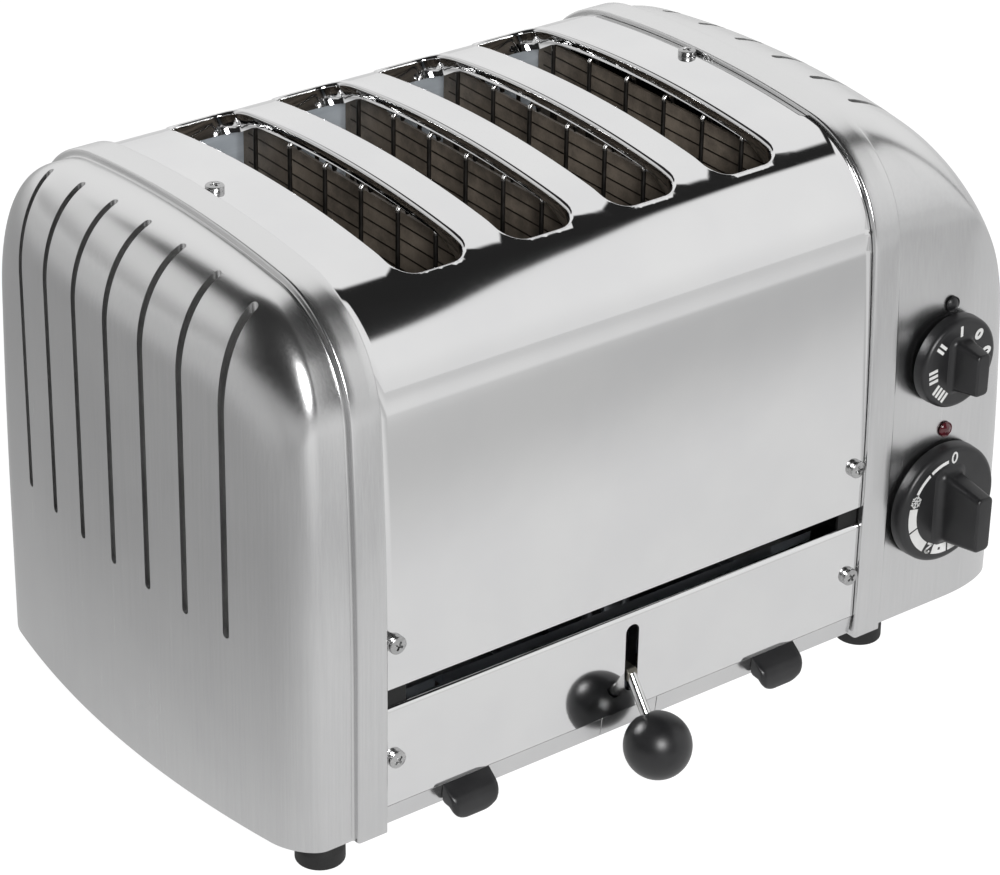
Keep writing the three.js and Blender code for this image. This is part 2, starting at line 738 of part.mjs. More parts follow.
// A closed tube along points in a plane of constant Y, mitred at each bend
function mitredTube(centres, radius, sides) {
  const normal = new THREE.Vector3(0, 1, 0);
  const corners = [];
  const faces = [];
  const last = centres.length - 1;
  centres.forEach((centre, i) => {
    const before = centres[Math.max(i - 1, 0)];
    const after = centres[Math.min(i + 1, last)];
    const arriving = centre.clone().sub(before).normalize();
    const leaving = after.clone().sub(centre).normalize();
    const along = arriving.clone().add(leaving).normalize();
    const straight = i === 0 || i === last ? 1 : Math.sqrt((1 + arriving.dot(leaving)) / 2);
    const across = new THREE.Vector3().crossVectors(normal, along);
    for (let k = 0; k < sides; k += 1) {
      const angle = 2 * Math.PI * k / sides;
      const corner = centre.clone()
        .addScaledVector(normal, radius * Math.sin(angle))
        .addScaledVector(across, radius * Math.cos(angle) / straight);
      corners.push(corner.x, corner.y, corner.z);
    }
  });
  for (let i = 0; i < last; i += 1) {
    for (let k = 0; k < sides; k += 1) {
      const next = (k + 1) % sides;
      const a = i * sides + k;
      const b = i * sides + next;
      faces.push(a, b, b + sides, a, b + sides, a + sides);
    }
  }
  for (let k = 1; k + 1 < sides; k += 1) {
    faces.push(0, k + 1, k);
    faces.push(last * sides, last * sides + k, last * sides + k + 1);
  }
  const geometry = new THREE.BufferGeometry();
  geometry.setAttribute('position', new THREE.Float32BufferAttribute(corners, 3));
  geometry.setIndex(faces);
  return geometry;
}

function buildGuards() {
  for (let i = 0; i < slotCount; i += 1) {
    add(`guard_wires_${i + 1}_left`, guard(middleOf(i), -1), darkWire);
    add(`guard_wires_${i + 1}_right`, guard(middleOf(i), 1), darkWire);
  }
}

function buildLift() {
  const half = bladeThickness / 2;
  const barEnd = middleOf(slotCount - 1) + crossbarPast;
  let carriage = blockSolid([-barEnd, barEnd], [-crossbarFront, -crossbarBack],
    [bladeFoot, bladeFoot + crossbarHeight]);
  for (let i = 0; i < slotCount; i += 1) {
    const x = middleOf(i);
    carriage = carriage.add(blockSolid([x - half, x + half], [-(crossbarBack + overrun), bladeReach],
      [bladeFoot, bladeTop]));
  }
  carriage = carriage.add(blockSolid([-liftPlateHalfWidth, liftPlateHalfWidth],
    [-crossbarFront, -crossbarFront + liftPlateThickness], [liftPlateFoot, bladeFoot + crossbarHeight / 2]));
  const rodY = -(crossbarFront + crossbarBack) / 2;
  [-1, 1].forEach((side) => {
    const x = side * guideRodX;
    const hole = bar([x, rodY, liftPlateFoot], [x, rodY, bladeTop + overrun], guideRodRadius + seat, 12);
    carriage = carriage.subtract(solid(hole));
    const name = side < 0 ? 'guide_rod_left' : 'guide_rod_right';
    add(name, bar([x, rodY, plateTop + seat], [x, rodY, guideRodTop], guideRodRadius, 12), plainSteel);
  });
  add('bread_carriage', carriage, plainSteel);

  const arm = blockSolid([-armHalfWidth, armHalfWidth], [-armReach, -(crossbarFront + seat)],
    [armFoot, armFoot + armHeight]);
  const start = [0, -(armReach - rodInset), armFoot + rodRadius];
  const ball = new THREE.Vector3(0, -ballForward, ballHeight);
  const back = new THREE.Vector3(...start).sub(ball).normalize();
  const tip = ball.clone().addScaledVector(back, ballRadius - rodDepthInBall);
  const rod = solid(bar(start, tip.toArray(), rodRadius, 12));
  add('lift_lever', arm.add(rod), plainSteel);

  const sphere = new THREE.SphereGeometry(ballRadius, 18, 10);
  sphere.translate(ball.x, ball.y, ball.z);
  const socketEnd = ball.clone().addScaledVector(back, ballRadius - rodDepthInBall - seat);
  const socketMouth = ball.clone().addScaledVector(back, ballRadius + overrun);
  const socket = bar(socketEnd.toArray(), socketMouth.toArray(), rodRadius + seat, 12);
  add('lever_ball', solid(sphere).subtract(solid(socket)), blackPlastic);
}

// A pull seen from its side: a root against the tray's face, a sloping top and a front lip
// that hooks down, so that a fingertip goes behind it from below
function pullOutline() {
  const back = -(coverFront + seat);
  const top = panelFoot - seat;
  return pullShares.map(([forward, up]) => [back - forward * pullReach, top + up * pullDepth]);
}

// The pull, cut to round corners as seen from above and from the front
function pull(x) {
  const half = pullWidth / 2;
  const root = coverFront + seat;
  const top = panelFoot;
  const foot = top - seat - pullDepth;
  const profile = solid(extrudeAlongX(pullOutline(), x - half, x + half));
  const lower = (level, corner) => [
    ...arc([x - half + corner, level + corner], corner, Math.PI, 1.5 * Math.PI, 5),
    ...arc([x + half - corner, level + corner], corner, 1.5 * Math.PI, 2 * Math.PI, 5),
  ];
  const fromAbove = [[x - half, -root], ...lower(-(root + pullReach), pullPlanRound),
    [x + half, -root]];
  const fromFront = [[x - half, top], ...lower(foot, pullRound), [x + half, top]];
  return profile
    .intersect(solid(extrudeAlongZ(fromAbove, foot - overrun, top)))
    .intersect(solid(extrudeAlongY(fromFront, -(root + pullReach + overrun), -(root - overrun))));
}

function buildTrays() {
  const face = -coverFront;
  const top = panelFoot - seat;
  const inner = tongueHalfWidth + seat;
  [-1, 1].forEach((side) => {
    const order = (a, b) => (side < 0 ? [-b, -a] : [a, b]);
    const levels = [trayStripFoot, top];
    const body = blockSolid(order(inner, trayHalfSpan), [face, face + trayLength], levels);
    const strip = blockSolid(order(inner, stripHalfSpan), [face, face + trayWall], levels);
    const pocket = blockSolid(order(inner + trayWall, trayHalfSpan - trayWall),
      [face + trayWall, face + trayLength - trayWall], [trayStripFoot + trayWall, top + overrun]);
    const name = side < 0 ? 'left' : 'right';
    add(`crumb_tray_${name}`, body.add(strip).subtract(pocket), polishedSteel);
    const x = side < 0 ? leftPullInset - trayHalfSpan : trayHalfSpan - rightPullInset;
    add(`tray_pull_${name}`, pull(x), blackPlastic);
  });
}

// A pan-head screw with a cross recess. It points along -Y with the underside of its head
// at the origin.
function screw() {
  const head = screwHeadHeight;
  const profile = [
    [0, -screwShankLength], [screwShankRadius, -screwShankLength], [screwShankRadius, 0],
    ...screwHeadShares.map(([out, up]) => [out * screwHeadRadius, up * head]),
  ];
  const body = solid(turned(profile, [0, 0, 0], 10));
  const half = recessLength / 2;
  const thin = recessWidth / 2;
  const depths = [-(head + overrun), -(head - recessDepth)];
  const across = blockSolid([-half, half], depths, [-thin, thin]);
  const upright = blockSolid([-thin, thin], depths, [-half, half]);
  return body.subtract(across).subtract(upright);
}

function buildScrews() {
  const pattern = screw();
  const levels = { upper: coverScrewHeight, lower: panelScrewHeight };
  Object.entries(levels).forEach(([level, height]) => {
    [-1, 1].forEach((side) => {
      const name = side < 0 ? 'left' : 'right';
      const x = side * frontScrewX;
      const face = coverFront + seat;
      const depth = flankDepth(height) - coverSetback + seat;
      const y = level === 'upper' ? depth : face;
      add(`front_screw_${level}_${name}`, pattern.translate([x, -y, height]), plainSteel);
      add(`rear_screw_${level}_${name}`, pattern.rotate([0, 0, 180]).translate([x, y, height]), plainSteel);
    });
  });
  [-1, 1].forEach((side) => {
    const name = side < 0 ? 'left' : 'right';
    const place = [side * topScrewX, topScrewY, casingTop - coverSetback + seat];
    add(`top_screw_${name}`, pattern.rotate([-90, 0, 0]).translate(place), plainSteel);
  });
}

// Half the casing's depth over the rims at a height on the flank
function flankDepth(height) {
  const above = Math.max(height - flankStart, 0);
  return casingHalfDepth - flankRadius + Math.sqrt(flankRadius ** 2 - above ** 2);
}

// A switch or timer body with its threaded bush, its spindle and its knob
function buildControl(name, control, height) {
  const half = control.body / 2;
  const wall = flankDepth(height + half) - rimProud - castingWall - bodySetback;
  const bushFront = casingHalfDepth - rimProud;
  const { radius, edge, depth } = control;
  const box = blockSolid([controlX - half, controlX + half], [-wall, -wall + control.bodyDepth],
    [height - half, height + half]);
  const bush = solid(roundAlongY(bushRadius, controlX, height, -bushFront, -(wall - overrun), 12));
  const bore = solid(roundAlongY(spindleRadius + seat, controlX, height, -(bushFront + overrun),
    -(spindleTail - seat), 12));
  add(`${name}_body`, box.add(bush).subtract(bore), paleMoulding);

  const dialFront = controlFace + depth;
  const spindleFront = dialFront + control.gripDepth / 2;
  const spindle = roundAlongY(spindleRadius, controlX, height, -spindleFront, -spindleTail, 12);
  add(`${name}_spindle`, spindle, plainSteel);

  const rim = [[control.foot, 0], [radius, edge], [radius, depth - edge], [radius - edge, depth]];
  const dial = solid(turned([[0, 0], ...rim, [0, depth]], [controlX, -controlFace, height],
    control.sides));
  const grip = solid(gripGeometry(control, height, dialFront));
  const socket = solid(roundAlongY(spindleRadius + seat, controlX, height, -(spindleFront + seat),
    -(controlFace - overrun), 12));
  add(`${name}_knob`, dial.add(grip).subtract(socket), blackPlastic);
}

// The bar of a knob. It flares into the dial at its foot, and its sides and its ends draw
// in towards the user. Each size is half a length and half a width.
function gripGeometry(control, height, dialFront) {
  const outline = ([long, wide], inset) => {
    const end = long - inset;
    const side = wide - inset;
    const cut = side * gripCornerShare;
    return [[-side, -(end - cut)], [-(side - cut), -end], [side - cut, -end], [side, -(end - cut)],
      [side, end - cut], [side - cut, end], [-(side - cut), end], [-side, end - cut]];
  };
  const front = dialFront + control.gripDepth;
  const levels = [
    [outline(control.gripFoot, 0), dialFront - control.edge],
    [outline(control.gripWaist, 0), dialFront + control.waistHeight],
    [outline(control.gripFront, 0), front - gripEdge],
    [outline(control.gripFront, gripEdge), front],
  ];
  const corners = [];
  const faces = [];
  levels.forEach(([shape, forward]) => {
    shape.forEach(([x, z]) => corners.push(controlX + x, -forward, height + z));
  });
  const count = levels[0][0].length;
  for (let level = 0; level + 1 < levels.length; level += 1) {
    for (let k = 0; k < count; k += 1) {
      const a = level * count + k;
      const b = level * count + (k + 1) % count;
      faces.push(a, b, b + count, a, b + count, a + count);
    }
  }
  const last = (levels.length - 1) * count;
  for (let k = 1; k + 1 < count; k += 1) {
    faces.push(0, k + 1, k);
    faces.push(last, last + k, last + k + 1);
  }
  const geometry = new THREE.BufferGeometry();
  geometry.setAttribute('position', new THREE.Float32BufferAttribute(corners, 3));
  geometry.setIndex(faces);
  return geometry;
}

// A small domed button on a stem
function domed(place) {
  const profile = [
    [0, -lampStemLength], [lampStem, -lampStemLength], [lampStem, 0],
    ...domeShares.map(([out, up]) => [out * lampRadius, up * lampRise]),
  ];
  return turned(profile, place, 16);
}

function buildControls() {
  buildControl('selector', selector, selectorHeight);
  buildControl('timer', timer, timerHeight);
  const markerFace = flankDepth(markerHeight) - rimProud + markerSeat;
  add('neon_lens', domed([lampX, -controlFace, lampHeight]), redGlass);
  add('marker_plug', domed([lampX, -markerFace, markerHeight]), blackPlastic);
}

function buildMainsEntry() {
  const face = casingHalfDepth - rimProud + seat;
  const inside = casingHalfDepth - rimProud - castingWall * 2;
  const collar = face + glandFlange;
  const mouth = collar + glandNeck;
  const profile = [
    [glandBore, inside], [glandSleeve, inside], [glandSleeve, face], [glandRadius, face],
    [glandRadius, collar], [glandSleeve, mouth], [glandBore, mouth], [glandBore, inside],
  ];
  const geometry = new THREE.LatheGeometry(profile.map(([r, h]) => new THREE.Vector2(r, h)), 16);
  geometry.translate(rimOuter + glandOutset, 0, glandHeight);
  add('cable_gland', geometry, blackPlastic);
  const foot = plateTop + seat;
  const { y, length, depth, height } = terminal;
  const x = rimOuter + terminal.outset;
  add('terminal_block', block([x, x + length], [y, y + depth], [foot, foot + height]), paleMoulding);
}

buildCastings();
buildCover();
buildPanels();
buildBase();
buildBulkheads();
buildShields();
buildBoards();
buildGuards();
buildLift();
buildTrays();
buildScrews();
buildControls();
buildMainsEntry();

// The origin is the middle of the base of the box round the whole object
const frontReach = ballForward + ballRadius;
const backReach = casingHalfDepth - rimProud + seat + glandFlange + glandNeck;
toaster.position.set(-(controlEnd.reach - ventEnd.reach) / 2, (frontReach - backReach) / 2, 0);

export default toaster;
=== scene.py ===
# %% [markdown]
# # A four-slot toaster, dressed around its CAD frame
# The frame gives every solid its place. This lesson builds the visible skin of each
# piece in finer steps than the frame has, and gives each one a procedural finish.

# %% Load the frame
import math

import bmesh
import bpy
import numpy as np
from mathutils import Matrix, Vector
from mathutils.geometry import delaunay_2d_cdt


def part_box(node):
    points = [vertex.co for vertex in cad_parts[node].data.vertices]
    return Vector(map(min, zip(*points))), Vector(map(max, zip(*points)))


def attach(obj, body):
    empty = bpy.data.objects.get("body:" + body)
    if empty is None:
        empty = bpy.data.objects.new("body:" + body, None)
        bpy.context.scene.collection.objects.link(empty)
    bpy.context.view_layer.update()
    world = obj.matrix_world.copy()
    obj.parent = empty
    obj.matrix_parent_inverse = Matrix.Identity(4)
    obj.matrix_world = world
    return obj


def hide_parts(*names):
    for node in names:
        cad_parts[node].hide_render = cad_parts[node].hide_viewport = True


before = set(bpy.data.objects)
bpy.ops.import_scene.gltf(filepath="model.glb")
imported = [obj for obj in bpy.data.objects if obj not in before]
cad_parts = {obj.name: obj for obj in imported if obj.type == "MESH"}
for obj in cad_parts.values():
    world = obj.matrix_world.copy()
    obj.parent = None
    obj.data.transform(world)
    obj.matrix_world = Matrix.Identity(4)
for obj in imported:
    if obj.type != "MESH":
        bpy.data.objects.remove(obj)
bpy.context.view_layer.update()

cover_low, cover_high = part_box("slot_cover")
middle = (cover_low + cover_high) / 2
MM = 0.001

# %% [markdown]
# ## The camera
# A long lens stands in front of the lever, to the left and above. Its place, turn and
# lens length were worked out from the corners of the slots, the screws and the seams.
# The small shift keeps the object where the picture has it.

# %% Camera
SENSOR_WIDTH, LENS, FAR_LIMIT = 36, 127.86, 50
SHIFT_RIGHT, SHIFT_UP = 0.0032, -0.0145
CAMERA_PLACE = (-0.74465, -0.9437, 0.7457)
RIGHTWARD = Vector((0.79679, -0.60404, 0.01637))
DOWNWARD = Vector((-0.27618, -0.38814, -0.87924))
FORWARD = Vector((0.53745, 0.69605, -0.47609))

camera_data = bpy.data.cameras.new("camera")
camera_data.sensor_width = SENSOR_WIDTH
camera_data.lens = LENS
camera_data.shift_x = SHIFT_RIGHT
camera_data.shift_y = SHIFT_UP
camera_data.clip_end = FAR_LIMIT
camera = bpy.data.objects.new("camera", camera_data)
bpy.context.scene.collection.objects.link(camera)
camera_turn = Matrix((RIGHTWARD, -DOWNWARD, -FORWARD)).transposed().to_4x4()
camera.matrix_world = Matrix.Translation(CAMERA_PLACE) @ camera_turn
bpy.context.scene.camera = camera
print("camera", [round(v, 3) for v in camera.location])

# %% [markdown]
# ## Drawing in millimetres about the middle of the slots
# The pieces are drawn in millimetres about the middle of the four slots, as the frame
# was, and one helper moves the points to their place in metres. A piece that is a plain
# mesh with its place in its vertices can ride on any body of the frame.

# %% Mesh helpers
MERGE_DISTANCE = 1e-6


def placed(points):
    """Points in millimetres about the slots' middle, in metres in the frame."""
    return np.asarray(points, float) * MM + np.array([middle.x, middle.y, 0])


def loose(name, points, faces):
    """A bare mesh that serves as a tool or is finished later."""
    mesh = bpy.data.meshes.new(name)
    mesh.from_pydata(placed(points).tolist(), [], [list(face) for face in faces])
    mesh.validate()
    thing = bpy.data.objects.new(name, mesh)
    bpy.context.scene.collection.objects.link(thing)
    return thing


def outward(piece):
    """Turns every face outwards after the doubles are merged."""
    shape = bmesh.new()
    shape.from_mesh(piece.data)
    bmesh.ops.remove_doubles(shape, verts=shape.verts, dist=MERGE_DISTANCE)
    bmesh.ops.recalc_face_normals(shape, faces=shape.faces)
    shape.to_mesh(piece.data)
    shape.free()
    return piece


def dressed(piece, material, body, sharp=35):
    """Gives a piece its finish and the body that it rides on, and shades it smooth
    except over edges that turn by more than an angle in degrees."""
    piece.data.materials.clear()
    piece.data.materials.append(material)
    piece.data.shade_smooth()
    piece.data.set_sharp_from_angle(angle=math.radians(sharp))
    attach(piece, body)
    return piece


def closed_piece(name, shape, material, body, sharp=35):
    """A dressed piece from the points and faces of closed shapes."""
    return dressed(outward(loose(name, *shape)), material, body, sharp)


def replace_nodes(piece, *nodes):
    """Hides the solids of the frame that a piece stands for, and prints their count."""
    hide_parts(*nodes)
    print(f"{piece.name}: {len(piece.data.polygons)} faces, stands for {len(nodes)} node(s)")
    return piece


# %% [markdown]
# ## Cutting, rounding and even reflections
# Openings are cut by closed tools, and a bevel rounds the edges of bent sheet. With
# smooth shading alone a rounded edge would also bend the reflections of the wide faces
# beside it. The Weighted Normal modifier lets the widest face at each point rule, so a
# flat face mirrors as flat as it is. Each modifier is turned into plain mesh at once.

# %% Modifier helpers
HARD_ANGLE = 50


def baked(piece):
    """Turns what the modifiers make into the piece's own plain mesh."""
    graph = bpy.context.evaluated_depsgraph_get()
    result = bpy.data.meshes.new_from_object(piece.evaluated_get(graph))
    piece.modifiers.clear()
    old = piece.data
    piece.data = result
    bpy.data.meshes.remove(old)
    return piece


def cut(piece, cutter):
    """Cuts one closed mesh out of another and removes the cutter."""
    tool = piece.modifiers.new("cut", "BOOLEAN")
    tool.operation = "DIFFERENCE"
    tool.solver = "EXACT"
    tool.object = cutter
    baked(piece)
    bpy.data.objects.remove(cutter)


def weighted(piece, hard_below=None):
    """Lets the wide faces rule the shading. Where a height in millimetres is given, the
    edges below it that are harder than HARD_ANGLE stay hard."""
    piece.data.shade_smooth()
    if hard_below:
        piece.data.set_sharp_from_angle(angle=math.radians(HARD_ANGLE))
        heights = [vertex.co.z for vertex in piece.data.vertices]
        for edge in piece.data.edges:
            if heights[edge.vertices[0]] > hard_below * MM:
                edge.use_edge_sharp = False
    weights = piece.modifiers.new("wide faces", "WEIGHTED_NORMAL")
    weights.mode = "FACE_AREA"
    weights.weight = 100
    weights.keep_sharp = bool(hard_below)
    return baked(piece)


def bevelled(piece, width, segments, angle):
    """Rounds the edges that turn by more than an angle in degrees."""
    tool = piece.modifiers.new("edge", "BEVEL")
    tool.width = width * MM
    tool.segments = segments
    tool.limit_method = "ANGLE"
    tool.angle_limit = math.radians(angle)
    tool.use_clamp_overlap = True
    return weighted(piece)


# %% [markdown]
# ## Writing shader maths as Python
# A finish here is mostly arithmetic on the place of a point: fine lines along one
# direction, cloudy patches, a bright tip. Wrapping a socket in a small class lets that
# arithmetic be written as it is spoken, and every operator adds one node.

# %% Shader maths
class Wire:
    """A socket in a node tree, with arithmetic."""

    def __init__(self, tree, socket):
        self.tree = tree
        self.socket = socket

    def node(self, kind, settings=None, sockets=None, out=0):
        """Adds a node: its settings first, then values or links for its sockets."""
        made = self.tree.nodes.new(kind)
        for key, value in (settings or {}).items():
            setattr(made, key, value)
        for key, value in (sockets or {}).items():
            if isinstance(value, Wire):
                self.tree.links.new(value.socket, made.inputs[key])
            else:
                made.inputs[key].default_value = value
        return Wire(self.tree, made.outputs[out])

    def maths(self, operation, *values):
        return self.node("ShaderNodeMath", {"operation": operation}, dict(enumerate(values)))

    def __add__(self, other):
        return self.maths("ADD", self, other)

    def __radd__(self, other):
        return self.maths("ADD", other, self)

    def __sub__(self, other):
        return self.maths("SUBTRACT", self, other)

    def __rsub__(self, other):
        return self.maths("SUBTRACT", other, self)

    def __mul__(self, other):
        return self.maths("MULTIPLY", self, other)

    def __rmul__(self, other):
        return self.maths("MULTIPLY", other, self)

    def between(self, low, high):
        """0 below low, 1 above high, a soft step between them."""
        return self.node("ShaderNodeMapRange", {"interpolation_type": "SMOOTHSTEP"},
                         {"Value": self, "From Min": low, "From Max": high})

    def blend(self, first, second):
        """A colour between two colours, with this number as the share of the second."""
        return self.node("ShaderNodeMix", {"data_type": "RGBA"},
                         {"Factor": self, 6: first, 7: second}, out=2)

    def part(self, axis):
        """The X, Y or Z of a vector."""
        return self.node("ShaderNodeSeparateXYZ", None, {0: self}, out="XYZ".index(axis))

    def stretched(self, x, y, z):
        """A place scaled along each axis; a small scale draws a pattern out that way."""
        return self.node("ShaderNodeVectorMath", {"operation": "MULTIPLY"},
                         {0: self, 1: (x, y, z)})

    def noise(self, scale, detail):
        return self.node("ShaderNodeTexNoise", None,
                         {"Vector": self, "Scale": scale, "Detail": detail, "Roughness": 0.55})


def finish(name, values):
    """A new material: its shader, the place of each point on it, and its own settings."""
    material = bpy.data.materials.new(name)
    material.use_nodes = True
    tree = material.node_tree
    tree.nodes.clear()
    shader = tree.nodes.new("ShaderNodeBsdfPrincipled")
    output = tree.nodes.new("ShaderNodeOutputMaterial")
    tree.links.new(shader.outputs[0], output.inputs[0])
    for key, value in values.items():
        shader.inputs[key].default_value = value
    coordinates = tree.nodes.new("ShaderNodeTexCoord")
    return material, shader, Wire(tree, coordinates.outputs["Object"])


def feed(place, shader, **links):
    """Links wires to a shader's sockets, named with underscores for spaces."""
    for key, value in links.items():
        place.tree.links.new(value.socket, shader.inputs[key.replace("_", " ")])


def bumped(place, shader, height, distance, strength):
    """Roughens the surface by a height from 0 to 1, over a distance in metres."""
    bump = place.node("ShaderNodeBump", None,
                      {"Height": height, "Distance": distance, "Strength": strength})
    feed(place, shader, Normal=bump)


# %% [markdown]
# ## Cast ends: satin aluminium, brushed upright
# The two ends are cast and then brushed from top to bottom. The lines are a noise that
# changes fast across the piece and slowly up it; they move the roughness and the shade a
# little, and the bump only very little, so that reflections smear into soft streaks. On
# top the colour is painted a little paler, as painted light that the top catches.

# %% Satin casting
def cast_finish(name):
    material, shader, place = finish(name, {"Metallic": 1.0, "Specular IOR Level": 0.5})
    lines = place.stretched(1.0, 1.0, 0.012).noise(1500.0, 2.0)
    fine = place.stretched(1.0, 1.0, 0.03).noise(4200.0, 2.0)
    cloud = place.noise(14.0, 3.0)
    brushed = lines * 0.6 + fine * 0.4
    tone = (brushed * 0.5 + cloud * 0.5).between(0.3, 0.7)
    # Painted light: the colour grows paler towards the top, where the casting catches more light.
    crown = place.part("Z").between(185.0 * MM, 215.0 * MM)
    tone_and_painted_top_light = tone * 0.55 + crown * 0.9
    feed(place, shader,
         Base_Color=tone_and_painted_top_light.blend((0.62, 0.62, 0.625, 1), (0.76, 0.76, 0.76, 1)),
         Roughness=brushed * 0.12 + cloud * 0.05 + 0.16)
    bumped(place, shader, brushed, 0.00003, 0.35)
    return material


satin_casting = cast_finish("satin_casting")

# %% [markdown]
# ## Wrapped steel: mirror polish
# The cover and the lower panels are polished sheet. A sheet is never perfectly flat, so
# a slow, shallow bump lets reflections drift, and a few fine upright hairlines and a
# faint haze keep the mirror from looking like glass.

# %% Polished sheet
def mirror_finish(name, shade, haze):
    material, shader, place = finish(name, {"Metallic": 1.0})
    drift = place.noise(9.0, 1.0)
    hair = place.stretched(1.0, 1.0, 0.02).noise(2600.0, 2.0)
    smear = place.noise(22.0, 3.0)
    dim = (shade - 0.03, shade - 0.03, shade - 0.025, 1)
    clear = (shade, shade, shade, 1)
    feed(place, shader,
         Base_Color=smear.between(0.3, 0.7).blend(dim, clear),
         Roughness=hair * 0.03 + smear * 0.05 + (haze - 0.03))
    bumped(place, shader, drift + hair * 0.004, 0.0012, 0.25)
    return material


mirror_steel = mirror_finish("mirror_steel", shade=0.80, haze=0.05)
strip_steel = mirror_finish("strip_steel", shade=0.70, haze=0.16)

# %% [markdown]
# ## Plain sheet, fasteners and castings left rough
# Inside, the sheets are as rolled, duller and a little blue, with a grain that is drawn
# out along the toaster. The screws and the lever's arm are plain steel, and its rod is
# plated and bright. One function makes them all from two shades, a roughness, the
# scale of the grain and how metallic it looks.

# %% Steels
def rolled_finish(name, low, high, rough, grain=900.0, metal=1.0):
    material, shader, place = finish(name, {"Metallic": metal})
    roll = place.stretched(0.05, 1.0, 1.0).noise(grain, 3.0)
    cloud = place.noise(35.0, 4.0)
    feed(place, shader,
         Base_Color=(roll * 0.4 + cloud * 0.6).between(0.3, 0.7).blend(low, high),
         Roughness=roll * 0.15 + (rough - 0.05))
    bumped(place, shader, roll, 0.00004, 0.5)
    return material


plain_sheet = rolled_finish(
    "plain_sheet", (0.42, 0.44, 0.47, 1), (0.55, 0.57, 0.60, 1), rough=0.3, grain=600.0)
shield_sheet = rolled_finish(
    "shield_sheet", (0.40, 0.44, 0.48, 1), (0.52, 0.56, 0.60, 1), rough=0.5, grain=400.0, metal=0.2)
rough_cast = rolled_finish(
    "rough_cast", (0.22, 0.22, 0.215, 1), (0.46, 0.46, 0.45, 1), rough=0.6, grain=1500.0, metal=0.4)
screw_steel = rolled_finish(
    "screw_steel", (0.42, 0.42, 0.42, 1), (0.55, 0.55, 0.55, 1), rough=0.24)
bright_plate = rolled_finish(
    "bright_plate", (0.72, 0.72, 0.71, 1), (0.82, 0.82, 0.81, 1), rough=0.14)
lever_steel = rolled_finish(
    "lever_steel", (0.20, 0.19, 0.16, 1), (0.30, 0.285, 0.245, 1), rough=0.36)
ribbon_metal = rolled_finish(
    "ribbon_metal", (0.05, 0.043, 0.036, 1), (0.10, 0.086, 0.07, 1), rough=0.45)
print("steels", len(bpy.data.materials))

# %% [markdown]
# ## Metal with painted shade and a painted highlight
# The inner walls are painted dark above their foot, as shade in the gap under the cover,
# and the guard wires are painted dark as shade below their tips, which carry a painted
# highlight. Both finishes follow the height of a point, with a soft step between them.

# %% Metal with painted shade
def painted_shade_finish(name, bright_below, dark_above):
    """Sheet that is bright below one height in millimetres and dark above another."""
    material, shader, place = finish(name, {"Metallic": 0.4})
    grain = place.stretched(0.05, 1.0, 1.0).noise(500.0, 3.0)
    # Painted shade: the sheet is painted dark above its foot, as the shade in the gap under the cover.
    painted_shade = place.part("Z").between(bright_below * MM, dark_above * MM)
    bright = grain.blend((0.52, 0.52, 0.51, 1), (0.64, 0.64, 0.63, 1))
    dark = grain.blend((0.006, 0.006, 0.006, 1), (0.012, 0.012, 0.012, 1))
    feed(place, shader, Base_Color=painted_shade.blend(bright, dark), Roughness=grain * 0.15 + 0.5)
    bumped(place, shader, grain, 0.00004, 0.5)
    return material


def guard_finish(name, dark_below, bright_above):
    """Wire that is dark below one height in millimetres and bright above another."""
    material, shader, place = finish(name, {"Metallic": 1.0})
    # Painted light: the wire is painted dark as shade below its tip, and the tip is painted bright as a
    # highlight.
    tip = place.part("Z").between(dark_below * MM, bright_above * MM)
    scale = place.stretched(1.0, 1.0, 0.3).noise(700.0, 3.0)
    share = tip.maths("MAXIMUM", tip, scale * 0.12)
    feed(place, shader,
         Base_Color=share.blend((0.045, 0.04, 0.035, 1), (0.95, 0.94, 0.92, 1)),
         Roughness=scale * 0.15 + 0.3 - tip * 0.15)
    bumped(place, shader, scale, 0.00003, 0.4)
    return material


dark_sheet = painted_shade_finish("dark_sheet", bright_below=30.0, dark_above=45.0)
guard_steel = guard_finish("guard_steel", dark_below=211.0, bright_above=212.6)
print("with heated ones", len(bpy.data.materials))

# %% [markdown]
# ## Moulded black plastic, rubber, lamp and inner mouldings
# The knobs, ball and pulls come from a mould with a fine spark-eroded grain. It is far
# smaller than a millimetre, so it shows as a soft highlight and a faint grain in it. The
# feet are rubber with a coarser grain, the lamp has a clear coat, and the print on the
# dials is nearly flat, so the same function makes them with other numbers.

# %% Plastics and rubber
def moulded_finish(name, low, high, rough, grain, depth, coat=0.0):
    material, shader, place = finish(name, {"Coat Weight": coat, "Coat Roughness": 0.1})
    texture = place.noise(grain, 2.0)
    handled = place.noise(60.0, 3.0)
    feed(place, shader,
         Base_Color=handled.between(0.3, 0.75).blend(low, high),
         Roughness=texture * 0.1 + handled * 0.08 + (rough - 0.09))
    bumped(place, shader, texture, depth, 0.4)
    return material


black_moulding = moulded_finish(
    "black_moulding", (0.010, 0.010, 0.011, 1), (0.018, 0.018, 0.019, 1),
    rough=0.36, grain=2400.0, depth=0.00003)
foot_rubber = moulded_finish(
    "foot_rubber", (0.010, 0.010, 0.010, 1), (0.024, 0.023, 0.022, 1),
    rough=0.7, grain=1300.0, depth=0.00008)
pale_moulding = moulded_finish(
    "pale_moulding", (0.46, 0.43, 0.36, 1), (0.58, 0.55, 0.47, 1),
    rough=0.5, grain=900.0, depth=0.00005)
mark_print = moulded_finish(
    "mark_print", (0.70, 0.70, 0.69, 1), (0.80, 0.80, 0.79, 1),
    rough=0.5, grain=1800.0, depth=0.00002)
red_lamp = moulded_finish(
    "red_lamp", (0.055, 0.008, 0.012, 1), (0.10, 0.014, 0.02, 1),
    rough=0.12, grain=500.0, depth=0.00001, coat=0.6)
print("with mouldings", len(bpy.data.materials))

# %% [markdown]
# ## Heat boards
# Each board is a sheet of mica, brown and flaky, that has darkened with heat. Flakes are
# a cell pattern, and broad stains are a slow noise.

